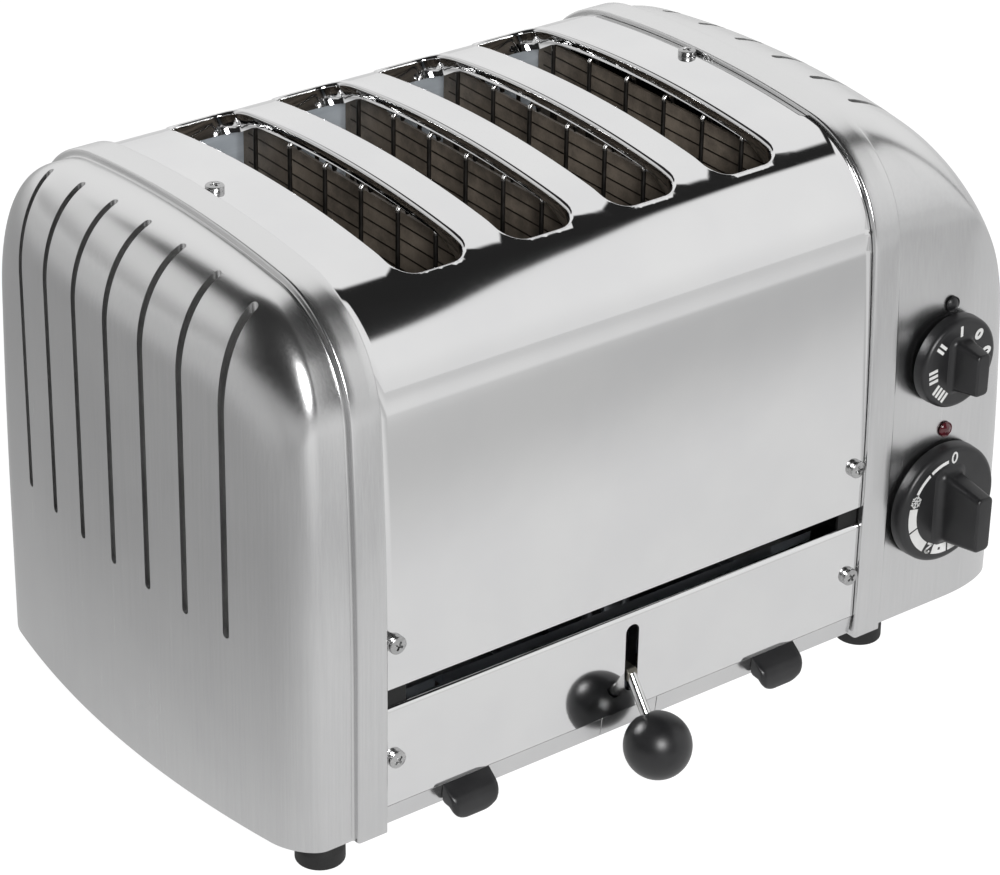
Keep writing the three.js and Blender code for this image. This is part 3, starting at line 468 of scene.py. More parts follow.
# %% Mica
def mica_finish(name):
    material, shader, place = finish(name, {})
    flakes = place.node("ShaderNodeTexVoronoi", {"feature": "F1"},
                        {"Vector": place, "Scale": 160.0})
    stain = place.stretched(1.0, 1.0, 0.5).noise(26.0, 4.0)
    speck = place.noise(900.0, 2.0)
    shade = flakes * 0.25 + stain * 0.6 + speck * 0.25
    feed(place, shader,
         Base_Color=shade.between(0.25, 0.85).blend((0.10, 0.085, 0.07, 1), (0.30, 0.25, 0.20, 1)),
         Roughness=stain * 0.3 + 0.32)
    bumped(place, shader, flakes * 0.5 + speck * 0.5, 0.0001, 0.4)
    return material


brown_mica = mica_finish("brown_mica")
print("finishes", len(bpy.data.materials))

# %% [markdown]
# ## The section of the casing
# One drawing rules the whole casing: a flat crown, two round shoulders and two flanks
# that bulge a little. Each point of it is known from how far it lies from the middle of
# the crown, measured along the section, so the same helper serves the cover, the rims
# and both ends.

# %% Section
HALF_DEPTH = 106.0
TOP = 224.0
FOOT = 13.0
CROWN, SHOULDER, FLANK = 519.0, 46.7, 1479.0
FLANK_START = 69.4


def shoulder_centre():
    """The centre of the round shoulder that touches both the crown and the flank."""
    crown = np.array([0, TOP - CROWN])
    flank = np.array([HALF_DEPTH - FLANK, FLANK_START])
    gap = flank - crown
    span = np.hypot(*gap)
    a, b = CROWN - SHOULDER, FLANK - SHOULDER
    along = (a * a - b * b + span * span) / (2 * span)
    aside = math.sqrt(a * a - along * along)
    return crown + (gap * along + np.array([gap[1], -gap[0]]) * aside) / span


CENTRE = shoulder_centre()
CROWN_ANGLE = math.atan2(CENTRE[1] - TOP + CROWN, CENTRE[0])
FLANK_ANGLE = math.atan2(CENTRE[1] - FLANK_START, CENTRE[0] - HALF_DEPTH + FLANK)
CROWN_RUN = CROWN * (math.pi / 2 - CROWN_ANGLE)
SHOULDER_RUN = SHOULDER * (CROWN_ANGLE - FLANK_ANGLE)
FLANK_RUN = FLANK * FLANK_ANGLE


def section_at(run, inset):
    """Depth, height and how far up the surface looks, at a signed run from the crown's
    middle and an inset below the outer face."""
    run = np.asarray(run, float)
    side = np.where(run < 0, -1.0, 1.0)
    r = np.abs(run)
    crown_angle = math.pi / 2 - r / CROWN
    shoulder_angle = CROWN_ANGLE - (r - CROWN_RUN) / SHOULDER
    flank_angle = FLANK_ANGLE - (r - CROWN_RUN - SHOULDER_RUN) / FLANK
    below = r - CROWN_RUN - SHOULDER_RUN - FLANK_RUN
    on_crown = r <= CROWN_RUN
    on_shoulder = (r > CROWN_RUN) & (r <= CROWN_RUN + SHOULDER_RUN)
    angle = np.where(on_crown, crown_angle,
                     np.where(on_shoulder, shoulder_angle, np.maximum(flank_angle, 0)))
    cx = np.where(on_crown, 0, np.where(on_shoulder, CENTRE[0], HALF_DEPTH - FLANK))
    cz = np.where(on_crown, TOP - CROWN, np.where(on_shoulder, CENTRE[1], FLANK_START))
    radius = np.where(on_crown, CROWN, np.where(on_shoulder, SHOULDER, FLANK)) - inset
    depth = cx + radius * np.cos(angle)
    height = cz + radius * np.sin(angle) - np.maximum(below, 0)
    return side * depth, height, np.sin(angle)


def run_to(height):
    """The run at which a flank reaches a height."""
    start = CROWN_RUN + SHOULDER_RUN
    if height < FLANK_START:
        return start + FLANK_RUN + FLANK_START - height
    return start + FLANK * (FLANK_ANGLE - math.asin((height - FLANK_START) / FLANK))


def run_at_depth(depth):
    """The run at which the crown or a shoulder reaches a depth, by bisection."""
    low, high = 0.0, CROWN_RUN + SHOULDER_RUN
    for _ in range(40):
        half = (low + high) / 2
        low, high = (half, high) if section_at(half, 0)[0] < abs(depth) else (low, half)
    return math.copysign(low, depth)


def section_runs(foot, crown_steps=14, shoulder_steps=22, flank_steps=24):
    """Signed runs from the front foot over the crown to the back foot."""
    half = np.concatenate([
        np.linspace(0, CROWN_RUN, crown_steps + 1),
        np.linspace(CROWN_RUN, CROWN_RUN + SHOULDER_RUN, shoulder_steps + 1)[1:],
        np.linspace(CROWN_RUN + SHOULDER_RUN, run_to(foot), flank_steps + 1)[1:],
    ])
    return np.concatenate([-half[::-1], half[1:]])


print("section run", round(run_to(FOOT), 1), "shoulder centre", CENTRE.round(1))

# %% [markdown]
# ## The cast ends
# Each end is a hollow dome behind a raised rim. A ring of the section is drawn in at the
# flanks and lowered at the top along a quarter turn, so the rim's wall runs smoothly
# into the bowed end face. An outer and an inner skin of the same rings give the wall its
# thickness, and closed cutters then open the vents.

# %% Cast end
RIM_START, RIM_WIDTH, RIM_PROUD, RIM_ROUND, WALL = 112.0, 13.0, 3.0, 1.0, 3.0
RIM_FILLET, RIM_TUCK, RIM_FLAT_FROM = 0.8, 0.6, 4
END_COLUMNS, END_STEPS = 40, 26
VENT_END = {"reach": 158.0, "shoulder": 26.0, "flank": 22.0,
            "drop": 36.0, "pinch": 16.0, "bow": 450.0, "vents": 7}
CONTROL_END = {"reach": 202.5, "shoulder": 77.5, "flank": 40.0,
               "drop": 106.0, "pinch": 10.0, "bow": 450.0, "vents": 6}


def end_ring(end, runs, inset, turn):
    """A ring of the dome at a share of its quarter turn, from the rim to the end face."""
    depth, height, upward = section_at(runs, inset)
    angle = turn * math.pi / 2
    closing, advance = 1 - math.cos(angle), math.sin(angle)
    y = depth * (1 - closing * end["pinch"] / (HALF_DEPTH - RIM_PROUD))
    rise = np.maximum(height - FOOT, 0)
    lowering = closing * end["drop"] / (TOP - RIM_PROUD - FOOT)
    z = np.minimum(height, FOOT) + rise * (1 - lowering)
    run = end["flank"] + (end["shoulder"] - end["flank"]) * np.abs(upward)
    reach = end["reach"] - (inset - RIM_PROUD)
    x = reach - run * (1 - advance) - advance * y ** 2 / (2 * end["bow"])
    return np.stack([x, y, z], 1)


def rim_profile():
    """(distance from the slots' middle, inset) down the rim, with rounded edges."""
    start, end = RIM_START, RIM_START + RIM_WIDTH
    r = RIM_ROUND
    quarter = [math.radians(a) for a in (0, 22.5, 45, 67.5, 90)]
    foot = RIM_PROUD - RIM_FILLET
    profile = [(start, RIM_PROUD + RIM_TUCK), (start, r + 0.3)]
    profile += [(start + r * (1 - math.cos(a)), r - r * math.sin(a)) for a in quarter]
    profile += [(start + RIM_FLAT_FROM, 0), (end - RIM_FLAT_FROM, 0)]
    profile += [(end - r * (1 - math.sin(a)), r - r * math.cos(a)) for a in quarter]
    profile += [(end, foot)]
    profile += [(end + RIM_FILLET * (1 - math.cos(a)), foot + RIM_FILLET * math.sin(a))
                for a in quarter[1:]]
    return profile


def end_skin(end, runs, wall, turns):
    """Rings and the rows of the end face of one skin; only the outer one has the rim."""
    rings = []
    for x, inset in rim_profile():
        depth, height, _ = section_at(runs, inset if wall == 0 else RIM_PROUD + wall)
        rings.append(np.stack([np.full(len(runs), x), depth, height], 1))
    for turn in turns:
        rings.append(end_ring(end, runs, RIM_PROUD + wall, turn))
    last = rings[-1]
    half = (len(runs) - 1) // 2
    rows = []
    for i in range(half):
        front, back = last[i], last[len(runs) - 1 - i]
        y = np.linspace(front[1], back[1], END_COLUMNS + 1)[1:-1]
        x = front[0] + (front[1] ** 2 - y ** 2) / (2 * end["bow"])
        rows.append(np.stack([x, y, np.full(END_COLUMNS - 1, front[2])], 1))
    return rings, rows


def skin_faces(ring_ids, grid):
    """Quads between the rings and over the end face, and triangles at its top."""
    around, half = len(ring_ids[0]), len(grid)
    faces = []
    for a, b in zip(ring_ids, ring_ids[1:]):
        faces += [(a[i], b[i], b[i + 1], a[i + 1]) for i in range(around - 1)]
    for low, high in zip(grid, grid[1:]):
        faces += [(low[j], low[j + 1], high[j + 1], high[j]) for j in range(END_COLUMNS)]
    top = ring_ids[-1][half]
    faces += [(grid[-1][j], grid[-1][j + 1], top) for j in range(END_COLUMNS)]
    return faces


def end_mesh(end, skins=(0, WALL), skip=0):
    """Points and faces of a closed cast shell that is open at its foot and its rim.
    The skins are the depths of its two faces, and skip leaves rings of the rim out."""
    runs = section_runs(FOOT)
    turns = np.linspace(0, 1, END_STEPS + 1)
    around, half = len(runs), (len(runs) - 1) // 2
    points, faces, borders = [], [], []
    for wall in skins:
        rings, rows = end_skin(end, runs, wall, turns)
        rings = rings[skip:]
        base = sum(len(p) for p in points)
        points += rings + rows
        ring_ids = [base + r * around + np.arange(around) for r in range(len(rings))]
        last = ring_ids[-1]
        inner_ids = base + len(rings) * around + np.arange(half * (END_COLUMNS - 1))
        grid = [[last[i], *row, last[around - 1 - i]]
                for i, row in enumerate(inner_ids.reshape(half, END_COLUMNS - 1))]
        skin = skin_faces(ring_ids, grid)
        faces += skin if wall == skins[0] else [face[::-1] for face in skin]
        front_edge = [ids[0] for ids in ring_ids]
        back_edge = [ids[-1] for ids in ring_ids]
        borders.append([*ring_ids[0][::-1], *front_edge[1:], *grid[0][1:-1], *back_edge[:0:-1]])
    outer, inner = borders
    for k in range(len(outer)):
        n = (k + 1) % len(outer)
        faces.append((outer[k], outer[n], inner[n], inner[k]))
    return np.concatenate(points), faces


print("castings reach", VENT_END["reach"], "and", CONTROL_END["reach"], "mm from the middle")

# %% [markdown]
# ## Vents
# A vent is a narrow slit in a plane of constant depth: it starts round on the shoulder
# and runs down the end. The cutter for it is lofted along the toaster, from nothing at
# its round start to its full width, so one closed shape cuts the whole slit.

# %% Vent cutters
VENT_WIDTH, VENT_PITCH, VENT_FOOT, VENT_HEAD = 3.2, 22.0, 89.0, 137.6
FIRST_ANGLE, ABOVE_TOP, BEYOND_END = 0.15, 6.0, 4.0


def lofted(sections):
    """Points and faces of a closed loft through outlines of equal length."""
    count = len(sections[0])
    faces = [tuple(range(count))[::-1]]
    for s in range(len(sections) - 1):
        for k in range(count):
            n = (k + 1) % count
            a, b = s * count, (s + 1) * count
            faces.append((a + k, a + n, b + n, b + k))
    faces.append(tuple((len(sections) - 1) * count + k for k in range(count)))
    return np.concatenate(sections), faces


def vent_cutter(y, reach):
    """A round-footed slit that grows from its start to its full width and runs on."""
    half = VENT_WIDTH / 2
    foot, top = VENT_FOOT + half, TOP + ABOVE_TOP
    spots = [(VENT_HEAD + half * (1 - math.cos(a)), half * math.sin(a))
             for a in np.linspace(FIRST_ANGLE, math.pi / 2, 7)]
    spots.append((reach + BEYOND_END, half))
    sections = []
    for x, w in spots:
        round_foot = [(x, y + w * math.cos(a), foot + w * math.sin(a))
                      for a in np.linspace(math.pi, 2 * math.pi, 9)]
        sections.append(np.array([*round_foot, (x, y + w, top), (x, y - w, top)]))
    return lofted(sections)


def vent_row(end):
    """The cutters of one end's vents, side by side about its middle."""
    first = -(end["vents"] - 1) / 2
    return [vent_cutter((first + i) * VENT_PITCH, end["reach"]) for i in range(end["vents"])]


# %% [markdown]
# ## Holes for the controls, and both castings
# Round holes let the spindles, the lamp and the plug through the control end's front and
# the gland through its back. The cutters of one casting are merged into one tool, so one
# cut makes all its openings. Both ends are drawn towards the controls, and the vented
# end is mirrored before it is cut.

# %% Castings
CONTROL_X, LAMP_X = 153.0, 155.0
SELECTOR_HEIGHT, TIMER_HEIGHT, LAMP_HEIGHT, MARKER_HEIGHT = 123.4, 61.5, 91.3, 144.8
GLAND_X, GLAND_HEIGHT = 150.0, 36.0
BUSH_HOLE, LAMP_HOLE, GLAND_HOLE = 5.3, 2.2, 6.3
HOLE_OUTSIDE, HOLE_INSIDE = 110, 90
CAST_SHARP = 32


def round_cutter(x, z, radius, y0, y1):
    turns = np.linspace(0, 2 * math.pi, 33)[:-1]
    return lofted([np.array([(x + radius * math.cos(a), y, z + radius * math.sin(a)) for a in turns])
                   for y in (y0, y1)])


def merged(shapes):
    """Several shapes as the points and faces of one."""
    points, faces, base = [], [], 0
    for some_points, some_faces in shapes:
        points.append(some_points)
        faces += [tuple(base + i for i in face) for face in some_faces]
        base += len(some_points)
    return np.concatenate(points), faces


def mirrored(points, faces):
    return points * np.array([-1, 1, 1]), [face[::-1] for face in faces]


def casting(label, shell_shape, tool_shape):
    shell = outward(loose(f"{label}_shell", *shell_shape))
    cut(shell, outward(loose("opening_tool", *tool_shape)))
    dressed(shell, satin_casting, "casing", CAST_SHARP)
    return replace_nodes(shell, f"{label}_casting")


front_holes = [round_cutter(x, z, radius, -HOLE_OUTSIDE, -HOLE_INSIDE)
               for x, z, radius in ((CONTROL_X, SELECTOR_HEIGHT, BUSH_HOLE),
                                    (CONTROL_X, TIMER_HEIGHT, BUSH_HOLE),
                                    (LAMP_X, LAMP_HEIGHT, LAMP_HOLE),
                                    (LAMP_X, MARKER_HEIGHT, LAMP_HOLE))]
gland_hole = round_cutter(GLAND_X, GLAND_HEIGHT, GLAND_HOLE, HOLE_INSIDE, HOLE_OUTSIDE)
casting("vent_end", mirrored(*end_mesh(VENT_END)), mirrored(*merged(vent_row(VENT_END))))
casting("control_end", end_mesh(CONTROL_END),
        merged([*vent_row(CONTROL_END), *front_holes, gland_hole]))

# %% [markdown]
# ## Liner behind the vents
# Through the vented end's slits the real one shows a rough grey surface, close behind
# the wall, and not the dark inside. The rings that made the casting make a liner too:
# its two skins lie a little deeper than the wall, and it leaves the rim's rings out.

# %% Liner
LINER_GAP, LINER_WALL = 0.1, 0.6
liner_front = WALL + LINER_GAP
liner = end_mesh(VENT_END, skins=(liner_front, liner_front + LINER_WALL), skip=len(rim_profile()))
vent_liner = closed_piece("vent_liner", mirrored(*liner), rough_cast, "casing", CAST_SHARP)
print("vent liner", len(vent_liner.data.polygons), "faces")

# %% [markdown]
# ## The slots in the cover
# The cover is one sheet bent over the section, with four long slots whose edges roll
# down into a flange. First comes what a slot is: a closed outline that can be drawn
# larger by a margin, so that rings of it can follow the rolled edge, and a flange that
# hangs deeper at the slot's two ends than along its sides.

# %% Slots
COVER_INSET, COVER_WALL, COVER_FOOT, COVER_HALF = 2.0, 1.2, 71.3, 111.7
SLOT_PITCH, SLOT_WIDTH, SLOT_LENGTH, SLOT_CORNER = 47.0, 30.0, 151.0, 8.0
LIP = 2.0
CORNER_STEPS, SIDE_STEPS, END_FACE_STEPS = 9, 40, 7
FLANGE_SHALLOW, FLANGE_EXTRA, FLANGE_FROM, FLANGE_RUN = 5.0, 4.2, 56, 14


def slot_middle(index):
    return (index - 1.5) * SLOT_PITCH


def slot_outline(x, grow):
    """The (x, depth) points round a slot, grown by a margin."""
    w, l, r = SLOT_WIDTH / 2 + grow, SLOT_LENGTH / 2 + grow, SLOT_CORNER + grow
    long_side = np.linspace(0, 1, SIDE_STEPS + 1)[1:-1]
    short_side = np.linspace(0, 1, END_FACE_STEPS + 1)[1:-1]
    points = []
    for k, (sx, sy) in enumerate(((1, -1), (1, 1), (-1, 1), (-1, -1))):
        start = (k - 1) * math.pi / 2
        for a in np.linspace(start, start + math.pi / 2, CORNER_STEPS):
            points.append((x + sx * (w - r) + r * math.cos(a), sy * (l - r) + r * math.sin(a)))
        if k in (0, 2):
            y0, y1 = sy * (l - r), -sy * (l - r)
            points += [(x + sx * w, y0 + (y1 - y0) * t) for t in long_side]
        else:
            x0, x1 = x + sx * (w - r), x - sx * (w - r)
            points += [(x0 + (x1 - x0) * t, sy * l) for t in short_side]
    return np.array(points)


def flange_depth(y):
    """How deep the flange hangs: deep at the slot's ends, shallow along its sides."""
    share = np.clip((np.abs(y) - FLANGE_FROM) / FLANGE_RUN, 0, 1)
    share = share * share * (3 - 2 * share)
    return FLANGE_SHALLOW + FLANGE_EXTRA * share


def surface_height(y, inset):
    return np.array([section_at(run_at_depth(v), inset)[1] for v in y])


print("slots at", [slot_middle(i) for i in range(4)])

# %% [markdown]
# ## The flat sheet
# A hole is exact when the sheet is triangulated flat, as it was before it was bent: x
# runs along the toaster and the run goes across it. The border and the four outlines are
# edges that the triangulation has to keep, and the triangles inside a slot are left out.

# %% Flat sheet
SHEET_COLUMNS, SHEET_ROWS = 75, (26, 30, 26)
SHEET_CLEARANCE, SAME_POINT = 0.8, 1e-5


def across_slot(x):
    """How far a point lies from the middle line of the nearest slot."""
    return min(abs(x - slot_middle(i)) for i in range(4))


def near_slot(x, y, margin):
    """Whether a point lies in the box round a slot's rolled edge and a margin."""
    grow = LIP + margin
    return across_slot(x) < SLOT_WIDTH / 2 + grow and abs(y) < SLOT_LENGTH / 2 + grow


def in_slot(x, y):
    """Whether a point lies in the opening in the flat sheet, round corners included."""
    corner_x = across_slot(x) - (SLOT_WIDTH / 2 - SLOT_CORNER)
    corner_y = abs(y) - (SLOT_LENGTH / 2 - SLOT_CORNER)
    in_corner = corner_x > 0 and corner_y > 0
    outside_arc = in_corner and math.hypot(corner_x, corner_y) > SLOT_CORNER + LIP
    return near_slot(x, y, 0) and not outside_arc


def flat_cover():
    """(x, run) points and triangles of the sheet, and the ids of its border and holes."""
    limit = run_to(COVER_FOOT)
    edge_runs = section_runs(COVER_FOOT, *SHEET_ROWS)
    xs = np.linspace(-COVER_HALF, COVER_HALF, SHEET_COLUMNS)
    flat, kept_edges = [], []

    def ring(loop):
        base = len(flat)
        flat.extend(loop)
        kept_edges.extend((base + i, base + (i + 1) % len(loop)) for i in range(len(loop)))
        return list(range(base, base + len(loop)))

    border = [(x, -limit) for x in xs[:-1]] + [(COVER_HALF, r) for r in edge_runs[:-1]]
    border += [(x, limit) for x in xs[:0:-1]] + [(-COVER_HALF, r) for r in edge_runs[:0:-1]]
    border_ids = ring(border)
    hole_ids = [ring([(x, run_at_depth(y)) for x, y in slot_outline(slot_middle(i), LIP)])
                for i in range(4)]
    for r in edge_runs[1:-1]:
        y = section_at(r, 0)[0]
        flat += [(x, r) for x in xs[1:-1] if not near_slot(x, y, SHEET_CLEARANCE)]
    made = delaunay_2d_cdt([Vector(p) for p in flat], kept_edges, [], 0, SAME_POINT)
    coords = np.array([(point.x, point.y) for point in made[0]])
    renamed = {old: new for new, olds in enumerate(made[3]) for old in olds}
    kept = []
    for triangle in made[2]:
        x, run = coords[list(triangle)].mean(0)
        if not in_slot(x, section_at(run, 0)[0]):
            kept.append(tuple(triangle))
    return (coords, kept, [renamed[i] for i in border_ids],
            [[renamed[i] for i in ids] for ids in hole_ids])


flat_points, flat_triangles, border_ids, hole_ids = flat_cover()
print("flat cover", len(flat_triangles), "triangles")

# %% [markdown]
# ## The wrapped cover
# The flat sheet is bent over the section twice, once for each face, and joined along its
# border. At each slot rings of points roll the edge over, carry it down the flange and
# come back up inside. Near the sheet's two feet its hard edges stay hard, and above them
# the wide faces rule the shading, so the mirror stays calm beside the slots.

# %% Cover
ROLL_STEPS, FLANGE_WALL, JOINT_SINK, HARD_FOOT = 6, 0.8, 0.6, 10


def bent(coords, inset):
    depth, height, _ = section_at(coords[:, 1], inset)
    return np.stack([coords[:, 0], depth, height], 1)


def ring_quads(previous, current):
    """Quads from one closed ring of point ids to the next."""
    size = len(current)
    return [(previous[(k + 1) % size], previous[k], current[k], current[(k + 1) % size])
            for k in range(size)]


def hung(outline, height):
    return np.stack([outline[:, 0], outline[:, 1], height], 1)


def slot_rings(x):
    """Rings down a slot's rolled edge and flange, and up again behind the flange."""
    rings = []
    for a in np.linspace(0, math.pi / 2, ROLL_STEPS + 1)[1:]:
        outline = slot_outline(x, LIP * (1 - math.sin(a)))
        sink = LIP * (1 - math.cos(a))
        rings.append(hung(outline, surface_height(outline[:, 1], COVER_INSET) - sink))
    face, behind = slot_outline(x, 0), slot_outline(x, FLANGE_WALL)
    flange_foot = surface_height(face[:, 1], COVER_INSET) - flange_depth(face[:, 1])
    joint = surface_height(behind[:, 1], COVER_INSET) - LIP - JOINT_SINK
    return [*rings, hung(face, flange_foot), hung(behind, flange_foot), hung(behind, joint)]


def cover_shape():
    outer, inner = (bent(flat_points, inset) for inset in (COVER_INSET, COVER_INSET + COVER_WALL))
    count = len(outer)
    points, base = [outer, inner], 2 * count
    faces = flat_triangles + [tuple(count + i for i in t[::-1]) for t in flat_triangles]
    for a, b in zip(border_ids, [*border_ids[1:], border_ids[0]]):
        faces.append((a, b, count + b, count + a))
    for index, ids in enumerate(hole_ids):
        previous = ids
        for ring in slot_rings(slot_middle(index)):
            current = list(range(base, base + len(ids)))
            base += len(ids)
            points.append(ring)
            faces += ring_quads(previous, current)
            previous = current
        faces += ring_quads(previous, [count + i for i in ids])
    return np.concatenate(points), faces


cover = outward(loose("wrapped_cover", *cover_shape()))
weighted(cover, COVER_FOOT + HARD_FOOT)
dressed(cover, mirror_steel, "casing", HARD_ANGLE)
replace_nodes(cover, "slot_cover")

# %% [markdown]
# ## Lower panels
# Under the cover a dark gap shows the folded top of each lower panel. A panel is one
# sheet, folded inwards over a small round bend. Its end view is drawn once and drawn out
# along the toaster. Closed cutters then take the fold's two ends, and in front the
# lever's slot. The rear panel is mirrored, reaches further down and has no slot.

# %% Lower panels
FACE, SHEET = 104.0, 1.2
PANEL_TOP, PANEL_FOOT, STRIP_TOP = 63.7, 17.0, 22.5
PANEL_HALF, BEND = COVER_HALF, 2.4
FOLD_HALF, FOLD_EDGE = 101.7, 97.0
LEVER_SLOT_HALF, LEVER_SLOT_FOOT, LEVER_SLOT_TOP = 3.1, 30, 58.6
SHEET_SHARP = 40


def extruded(outline, x0, x1, steps=1):
    """A closed bar whose end view is an outline of (depth, height)."""
    xs = np.linspace(x0, x1, steps + 1)
    return lofted([np.array([(x, y, z) for y, z in outline]) for x in xs])


def brick(x, y, z):
    return extruded([(y[0], z[0]), (y[1], z[0]), (y[1], z[1]), (y[0], z[1])], *x)


def folded_outline(foot):
    """The end view of a front panel, from its foot over the bend to the fold's edge."""
    centre = (-(FACE - BEND), PANEL_TOP - BEND)
    turn = np.linspace(math.pi, math.pi / 2, 9)
    outer = [(centre[0] + BEND * math.cos(a), centre[1] + BEND * math.sin(a)) for a in turn]
    slim = BEND - SHEET
    inner = [(centre[0] + slim * math.cos(a), centre[1] + slim * math.sin(a)) for a in turn[::-1]]
    return [(-FACE, foot), *outer, (-FOLD_EDGE, PANEL_TOP), (-FOLD_EDGE, PANEL_TOP - SHEET),
            *inner, (-FACE + SHEET, foot)]


def stadium_cutter(half_width, low, high, y0, y1):
    """An upright slot with round ends, as a cutter from one depth to another."""
    turn = np.linspace(0, math.pi, 15)
    top = [(half_width * math.cos(a), high - half_width + half_width * math.sin(a)) for a in turn]
    foot = [(-x, low + half_width - (z - high + half_width)) for x, z in top]
    return lofted([np.array([(x, y, z) for x, z in [*top, *foot]]) for y in (y0, y1)])


def fold_cutters():
    """Takes the fold's ends, from a hundredth behind the sheet's back."""
    depths, heights = (-(FACE - SHEET) + 0.01, -90), (50, 70)
    return [brick(x, depths, heights) for x in ((-115, -FOLD_HALF), (FOLD_HALF, 115))]


def lower_panel(name, foot, extra_cutters):
    panel = outward(loose(name, *extruded(folded_outline(foot), -PANEL_HALF, PANEL_HALF, 16)))
    cut(panel, outward(loose("panel_tool", *merged([*fold_cutters(), *extra_cutters]))))
    return panel


def finished_panel(panel, node):
    bevelled(panel, 0.22, 2, HARD_ANGLE)
    dressed(panel, mirror_steel, "casing", SHEET_SHARP)
    return replace_nodes(panel, node)


lever_slot = stadium_cutter(LEVER_SLOT_HALF, LEVER_SLOT_FOOT, LEVER_SLOT_TOP, -110, -95)
finished_panel(lower_panel("front_panel", STRIP_TOP, [lever_slot]), "front_lower_panel")
rear_panel = lower_panel("rear_panel", PANEL_FOOT, [])
for vertex in rear_panel.data.vertices:
    vertex.co.y = 2 * middle.y - vertex.co.y
finished_panel(outward(rear_panel), "rear_lower_panel")

# %% [markdown]
# ## The strip
# Under the front panel runs a narrow strip. Its middle is fixed and its two long sides
# are the fronts of the trays. All three lean back a little towards their lower edge, so
# one end view is drawn out three times.

# %% Strip
STRIP_FOOT, STRIP_LEAN, STRIP_HALF, TONGUE, JOINT = 14.4, 0.9, 111.2, 13.1, 0.15
strip_outline = [(-FACE, STRIP_TOP - 0.15), (-FACE + STRIP_LEAN, STRIP_FOOT),
                 (-FACE + STRIP_LEAN + 0.9, STRIP_FOOT), (-FACE + 1.1, STRIP_TOP - 0.15)]
for name, x0, x1, body in (("fixed_strip", -TONGUE, TONGUE, "casing"),
                           ("tray_strip_left", -STRIP_HALF, -TONGUE - JOINT, "tray_left"),
                           ("tray_strip_right", TONGUE + JOINT, STRIP_HALF, "tray_right")):
    strip = outward(loose(name, *extruded(strip_outline, x0, x1, 8)))
    bevelled(strip, 0.15, 2, HARD_ANGLE)
    dressed(strip, strip_steel, body, SHEET_SHARP)
    print(name, "from", x0, "to", x1)

# %% [markdown]
# ## Crumb trays
# Behind each long side of the strip is a shallow open pan, folded from thin sheet. It is
# a block with a smaller block cut out of its top, and a fine bevel for its folds.

# %% Trays
PAN_NEAR, PAN_FAR, PAN_FRONT, PAN_BACK = 13.4, 101.2, -102.2, 91.7
PAN_FOOT, PAN_TOP, PAN_WALL = 17.0, 22.2, 1.0


def pan_block(sign, margin, foot, top):
    """A block the size of one pan, drawn in by a margin on its four sides."""
    x = sorted((sign * (PAN_NEAR + margin), sign * (PAN_FAR - margin)))
    return brick(x, (PAN_FRONT + margin, PAN_BACK - margin), (foot, top))


for side, sign in (("left", -1), ("right", 1)):
    pan = outward(loose(f"tray_pan_{side}", *pan_block(sign, 0, PAN_FOOT, PAN_TOP)))
    hollow = pan_block(sign, PAN_WALL, PAN_FOOT + PAN_WALL, PAN_TOP + 1.8)
    cut(pan, outward(loose("pan_tool", *hollow)))
    bevelled(pan, 0.3, 2, HARD_ANGLE)
    dressed(pan, plain_sheet, f"tray_{side}", SHEET_SHARP)
    replace_nodes(pan, f"crumb_tray_{side}")

# %% [markdown]
# ## Turned pieces
# The feet, the ball, the round parts of the knobs, the lamp, the plug and the gland are
# all turned: an outline of radius against distance is spun round an axis. One helper
# makes them all, with a single point where the outline meets the axis.

# %% Turning
def turned(profile, origin, axis, steps):
    """Spins (radius, along) points round an axis; ends on the axis close in a point."""
    axis = Vector(axis).normalized()
    aside = axis.orthogonal().normalized()
    third = axis.cross(aside)
    turns = np.linspace(0, 2 * math.pi, steps + 1)[:-1]
    points, faces, rows = [], [], []
    for radius, along in profile:
        centre = Vector(origin) + axis * along
        if radius < 1e-6:
            rows.append([len(points)])
            points.append(centre)
            continue
        rows.append(list(range(len(points), len(points) + steps)))
        points += [centre + (aside * math.cos(a) + third * math.sin(a)) * radius for a in turns]
    for a, b in zip(rows, rows[1:]):
        for k in range(steps):
            n = (k + 1) % steps
            corners = [a[k % len(a)], a[n % len(a)], b[n % len(b)], b[k % len(b)]]
            faces.append(tuple(dict.fromkeys(corners)))
    return np.array([tuple(p) for p in points]), faces


def arc(centre, radius, start, end, steps):
    """Points of an arc as (radius, along) pairs, with angles in degrees."""
    return [(centre[0] + radius * math.cos(a), centre[1] + radius * math.sin(a))
            for a in np.radians(np.linspace(start, end, steps))]


UPWARD, FRONTWARD, BACKWARD = (0, 0, 1), (0, -1, 0), (0, 1, 0)

# %% [markdown]
# ## Feet
# Each foot is a short rubber buffer, a little wider at the ground, with a rounded edge
# and a shallow hollow underneath for its screw.

# %% Feet
FOOT_X, FOOT_Y = 130, 89
foot_profile = [(0, 1.6), (3.4, 1.6), (3.8, 0.25), *arc((8.35, 0.9), 0.9, -90, 0, 5),
                *arc((8.95, 5.5), 0.25, -20, 20, 3), (8.6, 12.6), (8.2, 13.0), (0, 13.0)]
for row, sy in (("front", -1), ("rear", 1)):
    for side, sx in (("left", -1), ("right", 1)):
        foot_shape = turned(foot_profile, (sx * FOOT_X, sy * FOOT_Y, 0), UPWARD, 40)
        foot = closed_piece(f"rubber_{row}_{side}", foot_shape, foot_rubber, "casing", 30)
        replace_nodes(foot, f"foot_{row}_{side}")

# %% [markdown]
# ## The lever's arm
# A flat steel arm comes out through the panel's slot. It is a bar with a slanted nose,
# drawn from the side, and its edges are rounded by a bevel.

